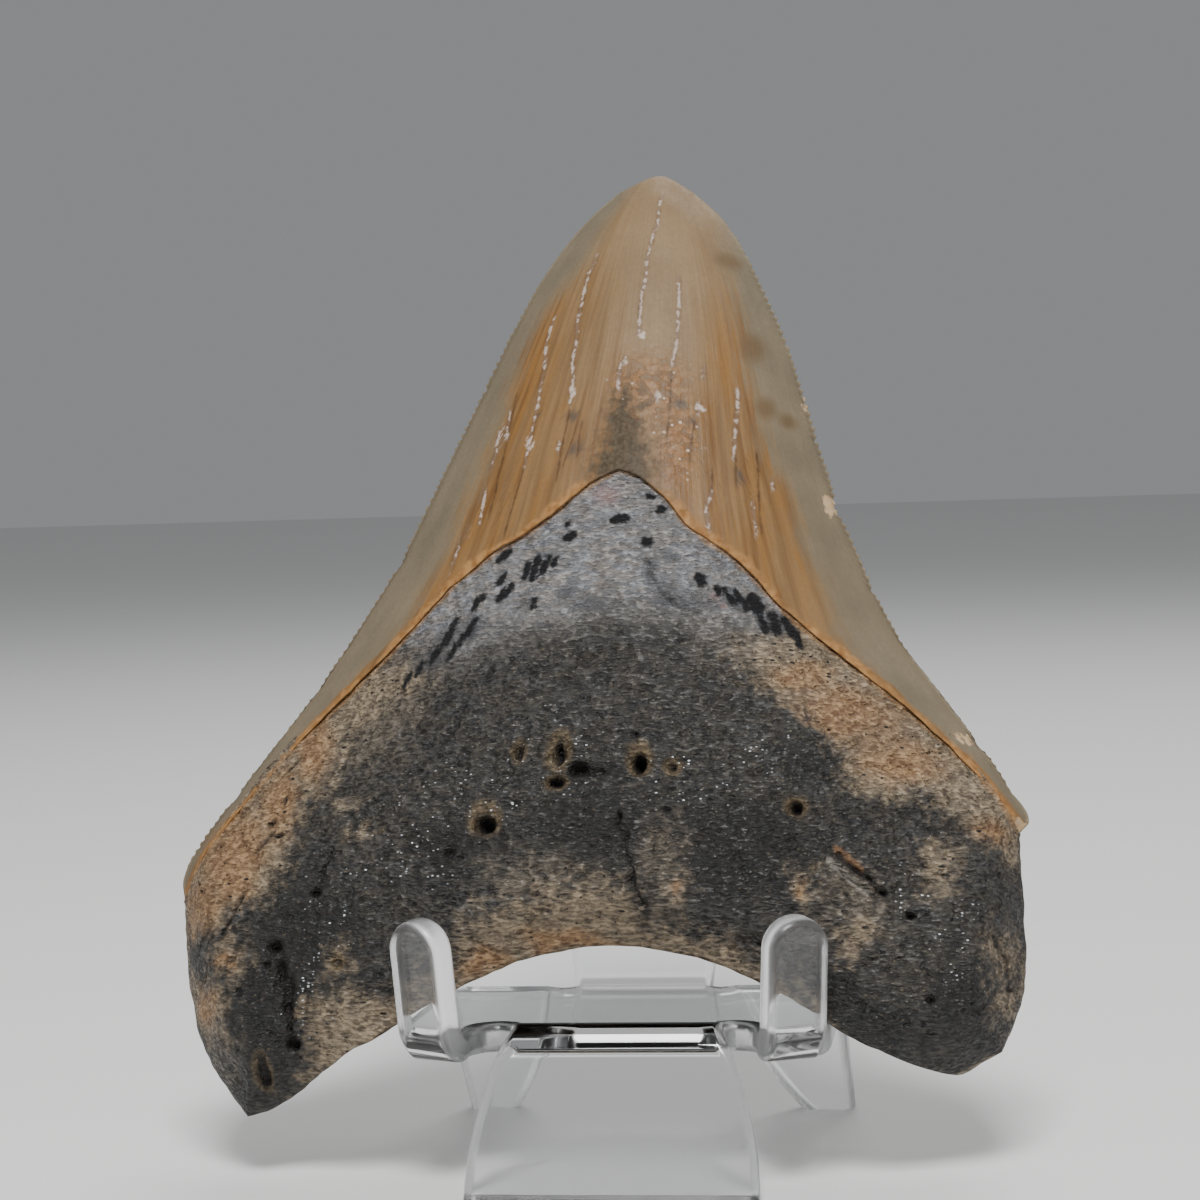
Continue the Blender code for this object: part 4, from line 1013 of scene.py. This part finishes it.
# %% Cut the feet level and smooth the shading
bpy.ops.object.mode_set(mode="EDIT")
bpy.ops.mesh.select_all(action="SELECT")
bpy.ops.mesh.bisect(plane_co=(0, 0, 0), plane_no=(0, 0, 1), use_fill=True, clear_inner=True,
                    threshold=1e-7)
bpy.ops.mesh.select_all(action="SELECT")
bpy.ops.mesh.normals_make_consistent(inside=False)
bpy.ops.object.mode_set(mode="OBJECT")
bpy.ops.object.shade_smooth_by_angle(angle=math.radians(35))
weighted = stand.modifiers.new("even shading", "WEIGHTED_NORMAL")
weighted.keep_sharp = True
bpy.ops.object.modifier_apply(modifier=weighted.name)
print("stand:", len(stand.data.polygons), "faces")

# %% [markdown]
# ## Materials
# Node trees are wired by a small kit of methods, and a finish is painted in layers: the ground
# colour first and the smallest marks last, each through a mask. The materials share two effects,
# each built once as a node group. The first sharpens noise to a mask. The second turns a stain's
# field into a mask with a ragged edge.

# %% A small kit for node trees
class Nodes:
    """A node tree, and short ways to add to it."""

    def __init__(self, tree):
        self.tree = tree

    def node(self, kind, inputs, **settings):
        made = self.tree.nodes.new("ShaderNode" + kind)
        for key, value in settings.items():
            setattr(made, key, value)
        for label, value in inputs.items():
            self.wire(value, made.inputs[label])
        return made

    def wire(self, value, socket):
        """Links another node's output, or sets a constant."""
        if isinstance(value, bpy.types.NodeSocket):
            self.tree.links.new(value, socket)
        else:
            socket.default_value = (*value, 1.0) if socket.type == "RGBA" else value

    def math(self, kind, *values):
        return self.node("Math", dict(enumerate(values)), operation=kind).outputs[0]

    def noise(self, vector, scale, detail):
        return self.node("TexNoise", {"Vector": vector, "Scale": scale, "Detail": detail}).outputs["Fac"]

    def spread(self, value, low, high, ease="SMOOTHSTEP"):
        """0 at low and 1 at high."""
        inputs = {"Value": value, "From Min": low, "From Max": high}
        return self.node("MapRange", inputs, interpolation_type=ease).outputs["Result"]


# %% Node groups
def new_group(name, inputs):
    """A node group with a Vector, float inputs and one Mask: its kit, its inputs, its output."""
    tree = bpy.data.node_groups.new(name, "ShaderNodeTree")
    tree.interface.new_socket("Vector", in_out="INPUT", socket_type="NodeSocketVector")
    for label, value in inputs.items():
        socket = tree.interface.new_socket(label, in_out="INPUT", socket_type="NodeSocketFloat")
        socket.default_value = value
    tree.interface.new_socket("Mask", in_out="OUTPUT", socket_type="NodeSocketFloat")
    given, result = tree.nodes.new("NodeGroupInput"), tree.nodes.new("NodeGroupOutput")
    return Nodes(tree), given.outputs, result.inputs["Mask"]


kit, given, result = new_group("stain", {"Scale": 1, "Low": 0.4, "High": 0.6, "Detail": 3})
noise = kit.noise(given["Vector"], given["Scale"], given["Detail"])
kit.wire(kit.spread(noise, given["Low"], given["High"], "LINEAR"), result)
STAIN = kit.tree

kit, given, result = new_group("ragged_edge", {"Field": 0, "Scale": 1, "Reach": 1, "Blur": 0.3})
noise = kit.noise(given["Vector"], given["Scale"], 5.0)
swing = kit.math("MULTIPLY", kit.math("SUBTRACT", noise, 0.5), 2.0)
inside = kit.math("MULTIPLY", given["Field"], FIELD_REACH)
inside = kit.math("MULTIPLY_ADD", swing, given["Reach"], inside)
kit.wire(kit.spread(inside, kit.math("MULTIPLY", given["Blur"], -1.0), given["Blur"]), result)
RAGGED = kit.tree


# %% What a finish is made of
class Finish(Nodes):
    """A material: patterns and masks go in, and tones are laid over each other."""

    def __init__(self, name, roughness, preview):
        self.material = bpy.data.materials.new(name)
        self.material.use_nodes = True
        self.material.diffuse_color = (*preview, 1.0)
        super().__init__(self.material.node_tree)
        self.shader = self.tree.nodes["Principled BSDF"].inputs
        self.shader["Roughness"].default_value = roughness

    def surface(self, sockets):
        """Gives the shader's sockets their values or patterns."""
        for label, value in sockets.items():
            self.wire(value, self.shader[label])

    def cover(self, piece):
        piece.data.materials.clear()
        piece.data.materials.append(self.material)

    def place(self, turn=(0, 0, 0), scale=(1, 1, 1)):
        """Object coordinates in mm, turned and stretched."""
        where = self.node("TexCoord", {}).outputs["Object"]
        inputs = {"Vector": where, "Scale": [s / MM for s in scale], "Rotation": turn}
        return self.node("Mapping", inputs).outputs["Vector"]

    def stretch(self, vector, scale):
        return self.node("Mapping", {"Vector": vector, "Scale": scale}).outputs["Vector"]

    def mask(self, name):
        return self.node("Attribute", {}, attribute_name=name).outputs["Fac"]

    def stain(self, vector, scale, low, high, detail=3.0):
        inputs = {"Vector": vector, "Scale": scale, "Low": low, "High": high, "Detail": detail}
        return self.node("Group", inputs, node_tree=STAIN).outputs["Mask"]

    def ragged(self, field, vector, scale, reach, blur):
        """A stain's mask; the field is a socket or a name."""
        field = self.mask(field) if isinstance(field, str) else field
        inputs = {"Field": field, "Vector": vector, "Scale": scale, "Reach": reach, "Blur": blur}
        return self.node("Group", inputs, node_tree=RAGGED).outputs["Mask"]

    def dots(self, vector, scale, radius, share):
        """Round dots in a share of the cells of a Voronoi pattern."""
        cells = self.node("TexVoronoi", {"Vector": vector, "Scale": scale}, feature="F1").outputs
        dot = self.spread(cells["Distance"], radius * 1.2, radius * 0.6)
        red = self.node("SeparateColor", {"Color": cells["Color"]}).outputs["Red"]
        chosen = self.both(self.math("SUBTRACT", share, red), 2.0 / share)
        return self.both(dot, self.math("MAXIMUM", chosen, 0.0))

    def both(self, a, b):
        return self.math("MULTIPLY", a, b)

    def mix(self, share, low, high):
        inputs = {"Factor": share, 6: low, 7: high}  # 6 and 7 are the sockets for colours
        return self.node("Mix", inputs, data_type="RGBA").outputs[2]

    def coats(self, base, *layers):
        """Lays tones over a colour, each by a mask or the name of one, and its strength."""
        for mask, strength, tone in layers:
            mask = self.mask(mask) if isinstance(mask, str) else mask
            base = self.mix(self.both(mask, strength), base, tone)
        return base

    def bump(self, height, strength, distance, under=None):
        """Relief, with its distance in mm, over the relief under it."""
        inputs = {"Height": height, "Strength": strength, "Distance": distance * MM}
        if under is not None:
            inputs["Normal"] = under
        return self.node("Bump", inputs).outputs["Normal"]


# %% [markdown]
# The enamel is semi-gloss. Its middle is tan with orange-brown streaks, its edges turn olive
# grey, its tip is paler, and pale broken cracks run down it. The streaks are noise, stretched
# along the flow of the crown in three widths. A pale crack is a chain of small beads of mineral
# with a brown outline.

# %% Enamel
enamel = Finish("fossil_enamel", 0.34, (0.36, 0.26, 0.17))
flow = enamel.node("Attribute", {}, attribute_name="flow").outputs["Vector"]
turned = enamel.place(turn=(TOOTH_LEAN, 0, 0))
hair_streaks = enamel.stain(enamel.stretch(flow, (2.3, 0.6, 1)), 1, 0.40, 0.62, 4)
thin_streaks = enamel.stain(enamel.stretch(flow, (1.1, 0.5, 1)), 1, 0.42, 0.60, 4)
wide_streaks = enamel.stain(enamel.stretch(flow, (0.40, 0.5, 1)), 1, 0.42, 0.60)
clouds = enamel.stain(turned, 0.15, 0.35, 0.68)
speck = enamel.stain(turned, 2.4, 0.35, 0.7, 4)
patchy = enamel.stain(turned, 1.1, 0.46, 0.56, 5)

middle = enamel.mix(wide_streaks, (0.222, 0.142, 0.070), (0.180, 0.105, 0.045))
orange = enamel.mix(thin_streaks, (0.225, 0.106, 0.027), (0.125, 0.054, 0.013))
streaky = enamel.math("MULTIPLY_ADD", wide_streaks, 0.50, 0.46)
middle = enamel.coats(middle, (thin_streaks, 0.5, (0.140, 0.086, 0.042)), ("warm", streaky, orange),
                      (hair_streaks, 0.35, (0.245, 0.150, 0.066)))
edges = enamel.mix(clouds, (0.190, 0.152, 0.100), (0.145, 0.120, 0.080))
edges = enamel.coats(edges, (thin_streaks, 0.2, (0.14, 0.11, 0.07)))
base = enamel.mix(enamel.ragged("olive", enamel.stretch(flow, (1.2, 1.6, 1)), 1, 2.6, 2), middle, edges)

tip_tone = enamel.mix(clouds, (0.245, 0.168, 0.090), (0.200, 0.135, 0.070))
eroded = enamel.mix(enamel.stain(turned, 1.3, 0.40, 0.60, 4), (0.24, 0.105, 0.032), (0.28, 0.155, 0.072))
mottled = enamel.both(enamel.mask("mottle"), patchy)
wedge = enamel.ragged("wedge", turned, 1.1, 2.4, 1.6)
wedge_tone = enamel.mix(speck, (0.066, 0.059, 0.040), (0.022, 0.021, 0.017))
base = enamel.coats(base, ("tip", 0.8, tip_tone), ("mottle", 0.65, eroded),
                    (mottled, 0.5, (0.070, 0.052, 0.034)), (wedge, 0.85, wedge_tone),
                    ("brown_spots", 0.8, (0.120, 0.076, 0.036)),
                    ("dark_spots", 0.85, (0.06, 0.05, 0.042)))

# %% Cracks, spots and rims of the enamel
BEAD_GAPS = 0.15  # how much of a pale crack shows between its beads

beads = enamel.stain(turned, 1.25, 0.46, 0.53, 1)
chain = enamel.math("MULTIPLY_ADD", beads, 1 - BEAD_GAPS, BEAD_GAPS)
for name, half, tone, strength in (("brown", 0.05, (0.06, 0.032, 0.014), 0.75),
                                   ("pale", 0.16, (0.44, 0.355, 0.30), 0.95)):
    side = enamel.both(enamel.math("ABSOLUTE", enamel.mask(name + "_side")), -1.0)
    run = enamel.mask(name + "_run")
    wide = enamel.math("ADD", side, (half + 0.10) / FIELD_REACH)
    narrow = enamel.math("ADD", side, half / FIELD_REACH)
    border = enamel.both(enamel.ragged(wide, turned, 1.1, 0.30, 0.16), run)
    line = enamel.both(enamel.ragged(narrow, turned, 1.6, 0.30, 0.14), run)
    if name == "pale":
        line = pale_line = enamel.both(line, chain)
    base = enamel.coats(base, (border, 0.6, (0.10, 0.05, 0.02)), (line, strength, tone))

pale_spots = enamel.ragged("pale_spots", turned, 1.5, 0.5, 0.2)
flecks = enamel.both(enamel.dots(turned, 1.1, 0.22, 0.35), enamel.mask("mottle"))
rim = enamel.ragged("gum_rim", turned, 0.5, 1, 0.5)
rim_tone = enamel.mix(enamel.stain(turned, 1.1, 0.35, 0.65, 5), (0.22, 0.095, 0.024), (0.40, 0.215, 0.080))
cream = enamel.ragged("cream", turned, 1.4, 0.8, 0.15)
base = enamel.coats(base, (pale_spots, 1, (0.52, 0.42, 0.36)), (flecks, 1, (0.50, 0.40, 0.31)),
                    (rim, 0.9, rim_tone),
                    (cream, 1, enamel.mix(speck, (0.46, 0.29, 0.14), (0.55, 0.43, 0.28))),
                    # Light cream along the serrated edges is a painted highlight.
                    ("edge_highlight", 0.5, (0.33, 0.27, 0.17)), (speck, 0.18, (0.09, 0.06, 0.035)))
matte = pale_line
for mask in (rim, cream, wedge):
    matte = enamel.math("MAXIMUM", matte, mask)
gloss = enamel.math("MULTIPLY_ADD", speck, 0.16, 0.38)
worn = enamel.bump(hair_streaks, 0.5, 0.03)
worn = enamel.bump(enamel.stain(turned, 0.9, 0.3, 0.7, 5), 0.35, 0.06, worn)
worn = enamel.bump(enamel.math("SUBTRACT", 1.0, mottled), 0.6, 0.12, worn)
enamel.surface({"Base Color": base, "Roughness": enamel.math("MULTIPLY_ADD", matte, 0.3, gloss),
                "Normal": enamel.bump(pale_line, 0.6, 0.06, worn), "Specular IOR Level": 0.20,
                "Coat Weight": 0.03, "Coat Roughness": 0.22})
enamel.cover(crown)

# %% [markdown]
# The root is matte and porous, with a grain like worn bone that runs across. It is dark grey in
# the middle, tan where clay stained it, and pale blue-grey in the band under the enamel, which
# is called the bourlette. Tiny crystals in the dark parts are smoother, with a painted highlight:
# bright grey dots. Noise alone would scatter these colours evenly, so the drawn stains say where
# each lies, and noise gives them grain and borders.

# %% Root
fossil = Finish("fossil_root", 0.62, (0.12, 0.115, 0.11))
turned = fossil.place(turn=(TOOTH_LEAN, 0, 0))
level = fossil.place(turn=(TOOTH_LEAN, 0, 0), scale=(0.55, 1.0, 1.6))
coarse = fossil.stain(turned, 0.85, 0.40, 0.61)
fine = fossil.stain(fossil.stretch(turned, (0.55, 1.0, 1.35)), 2.3, 0.42, 0.58, 4)
grain = fossil.math("MULTIPLY_ADD", coarse, 0.4, fossil.both(fine, 0.6))
fibre = fossil.stain(level, 0.9, 0.36, 0.66, 5)
blotches = fossil.stain(turned, 0.30, 0.42, 0.62, 4)
tint = fossil.stain(fossil.stretch(turned, (0.6, 1.0, 1.2)), 0.9, 0.40, 0.60, 4)
grit = fossil.dots(fossil.stretch(turned, (0.8, 1.0, 1.1)), 1.7, 0.24, 0.35)


def grained(low, high):
    """A colour between two tones, by the grain."""
    return fossil.mix(grain, low, high)


dusty = fossil.ragged("dusty", turned, 0.8, 3.6, 2.4)
dark = fossil.coats(grained((0.001, 0.001, 0.001), (0.056, 0.055, 0.054)),
                    (tint, 0.45, grained((0.002, 0.001, 0.001), (0.066, 0.050, 0.031))),
                    (blotches, 0.4, grained((0.010, 0.007, 0.004), (0.060, 0.046, 0.031))),
                    # Near black patches: partly the darkest grey, partly painted shade on the lower lobes.
                    ("darkest_and_shade", 0.7, (0.004, 0.0038, 0.0035)), (grit, 0.34, (0.115, 0.088, 0.055)),
                    (dusty, 0.7, grained((0.035, 0.028, 0.020), (0.19, 0.155, 0.115))))
tan = fossil.coats(grained((0.040, 0.027, 0.015), (0.300, 0.230, 0.148)),
                   (fibre, 0.35, (0.23, 0.19, 0.14)),
                   ("warm", 0.75, grained((0.13, 0.057, 0.020), (0.37, 0.215, 0.098))))
pale = fossil.mix(tint, grained((0.085, 0.088, 0.096), (0.250, 0.256, 0.272)),
                  grained((0.075, 0.066, 0.060), (0.270, 0.245, 0.222)))
pale = fossil.coats(pale, (blotches, 0.35, (0.16, 0.155, 0.15)))
pale_core = fossil.ragged(fossil.math("SUBTRACT", fossil.mask("bourlette"), 0.55), turned, 0.4, 2.4, 2.0)
pale = fossil.mix(pale_core, grained((0.040, 0.037, 0.034), (0.150, 0.138, 0.125)), pale)
tan_edge = fossil.ragged("tan", turned, 0.8, 3.4, 1.7)
pale_edge = fossil.ragged("bourlette", turned, 0.45, 3, 3)
body = fossil.coats(dark, (tan_edge, 1, tan), (pale_edge, 1, pale))

# %% Holes, crystals and marks of the root
open_bone = fossil.math("SUBTRACT", 1.0, pale_edge)
slots = fossil.both(fossil.dots(level, 0.95, 0.20, 0.40), tan_edge)
holes = fossil.math("MAXIMUM", fossil.dots(turned, 1.25, 0.17, 0.30), slots)
holes = fossil.both(holes, open_bone)
clusters = fossil.both(fossil.mask("glints"), fossil.stain(turned, 0.5, 0.50, 0.58, 2))
# Crystals: smoother dots, whose glints are a painted highlight in bright grey.
crystals_and_painted_glints = fossil.dots(fossil.stretch(turned, (0.75, 1.0, 1.3)), 2.4, 0.26, 0.45)
crystals_and_painted_glints = fossil.both(crystals_and_painted_glints, fossil.math("MULTIPLY_ADD", clusters, 0.9, 0.03))
crystals_and_painted_glints = fossil.both(crystals_and_painted_glints, open_bone)
flake = fossil.ragged("flake", turned, 1.6, 0.4, 0.2)
lip = fossil.ragged("lip", turned, 1.6, 0.4, 0.2)
ink = fossil.ragged("ink", turned, 1.8, 0.45, 0.22)
body = fossil.coats(body, ("smudge", 0.75, (0.055, 0.056, 0.060)), ("pink", 0.3, (0.36, 0.17, 0.15)),
                    ("ring", 0.75, grained((0.055, 0.038, 0.019), (0.190, 0.138, 0.075))),
                    # The bright grey of the crystals is a painted highlight.
                    (holes, 0.9, (0.008, 0.007, 0.006)), (crystals_and_painted_glints, 1, (0.66, 0.68, 0.71)),
                    (flake, 0.85, grained((0.12, 0.055, 0.024), (0.34, 0.19, 0.09))),
                    (lip, 0.6, (0.27, 0.245, 0.205)),
                    # Along the gum line: tan, partly the rim's colour and partly painted light that fills
                    # the shade under the enamel's step.
                    ("gum", 0.75, grained((0.17, 0.085, 0.030), (0.36, 0.21, 0.10))),
                    # Painted shade: near black in the foramina, slits and cracks, by their depth.
                    (ink, 1, (0.003, 0.003, 0.004)), ("hollow_shade", 1, (0.008, 0.006, 0.005)))
sheen = fossil.math("MULTIPLY_ADD", fine, -0.16, 0.60)
sheen = fossil.math("MULTIPLY_ADD", ink, 0.35, sheen)
sheen = fossil.math("MULTIPLY_ADD", crystals_and_painted_glints, -0.3, sheen)
inputs = {"Vector": fossil.stretch(turned, (0.55, 1.0, 1.3)), "Scale": 2.3}
granules = fossil.node("TexVoronoi", inputs, feature="F1").outputs["Distance"]
rough = fossil.bump(fossil.math("SUBTRACT", 1.0, granules), 0.8, 0.22)
rough = fossil.bump(grain, 0.9, 0.26, rough)
rough = fossil.bump(fossil.math("SUBTRACT", 1.0, holes), 0.8, 0.2, rough)
fossil.surface({"Base Color": body, "Roughness": sheen, "Normal": rough, "Specular IOR Level": 0.38})
fossil.cover(root)

# %% [markdown]
# The plastic is clear and smooth. Its cut edges were polished by hand, so they are a little
# less clear than the faces, and they catch the light. Full transmission makes it clear. Only its
# roughness is painted: higher near the cut edges, with faint smears on the faces.

# %% Clear plastic
plastic = Finish("clear_plastic", 0.02, (0.9, 0.93, 0.95))
smear = plastic.both(plastic.stain(plastic.place(), 0.35, 0.45, 0.75), 0.02)
polish = plastic.math("MULTIPLY_ADD", plastic.mask("rim"), 0.28, 0.015)
plastic.surface({"Base Color": (0.99, 0.995, 1.0), "Transmission Weight": 1.0, "IOR": 1.49,
                 "Roughness": plastic.math("ADD", polish, smear)})
plastic.cover(stand)

# %% [markdown]
# ## Tie the pieces to the frame
# Nothing moves, so every piece rides on the one body. Each stands in for a plainer piece of the
# imported model: the crown and the root together for the tooth, and the bent sheet for the stand.

# %% Bodies and replaced pieces
for piece in (crown, root):
    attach(piece, "root")
    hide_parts("tooth")
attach(stand, "root")
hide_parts("display_stand")

# %% [markdown]
# ## Floor, light and camera
# The floor is plain and pale. The main lamp hangs high in front and is small enough to draw a
# glint on the enamel. A weak wide one fills in from the left, and one behind lights the clear
# plastic from above. A long lens looks almost level at the tooth, a little from the right, and
# keeps its outline true.

# %% Floor
bpy.ops.object.select_all(action="DESELECT")
bpy.ops.mesh.primitive_plane_add(size=6.0, location=(0, 0, -0.05 * MM))
floor = bpy.context.object
floor.name = "floor"
paper = Finish("pale_floor", 0.7, (0.75, 0.75, 0.75))
paper.surface({"Base Color": (0.80, 0.80, 0.79)})
paper.cover(floor)


# %% Lights
AIM = Vector((0, 0, 0.05))


def soft_light(name, place, size, power):
    light = bpy.data.lights.new(name, "AREA")
    light.energy, light.size = power, size
    lamp = bpy.data.objects.new(name, light)
    bpy.context.scene.collection.objects.link(lamp)
    lamp.location = place
    lamp.rotation_euler = (AIM - Vector(place)).to_track_quat("-Z", "Y").to_euler()


soft_light("key", (0.06, -0.46, 0.66), 0.25, 7.3)
soft_light("fill", (-0.60, -0.40, 0.30), 0.6, 0.4)
soft_light("top", (0.10, 0.40, 0.70), 0.6, 3.0)
world = bpy.data.worlds.new("studio")
world.use_nodes = True
sky = world.node_tree.nodes["Background"].inputs
sky["Color"].default_value = (0.80, 0.81, 0.83, 1.0)
sky["Strength"].default_value = 0.32
bpy.context.scene.world = world

# %% Camera
CAMERA_PLACE = (0.0462, -0.31826, 0.0760)
CAMERA_AZIMUTH, CAMERA_DIP, CAMERA_ROLL = (math.radians(angle) for angle in (8.2, 3.0, 1.85))

camera_data = bpy.data.cameras.new("camera")
camera_data.lens, camera_data.sensor_width = 90.0, 36.0
camera_data.clip_start = 0.01
camera = bpy.data.objects.new("camera", camera_data)
bpy.context.scene.collection.objects.link(camera)
camera.matrix_world = (Matrix.Translation(CAMERA_PLACE) @ Matrix.Rotation(CAMERA_AZIMUTH, 4, "Z")
                       @ Matrix.Rotation(math.pi / 2 - CAMERA_DIP, 4, "X")
                       @ Matrix.Rotation(-CAMERA_ROLL, 4, "Z"))
bpy.context.scene.camera = camera
print("camera at", [round(c, 4) for c in camera.location])
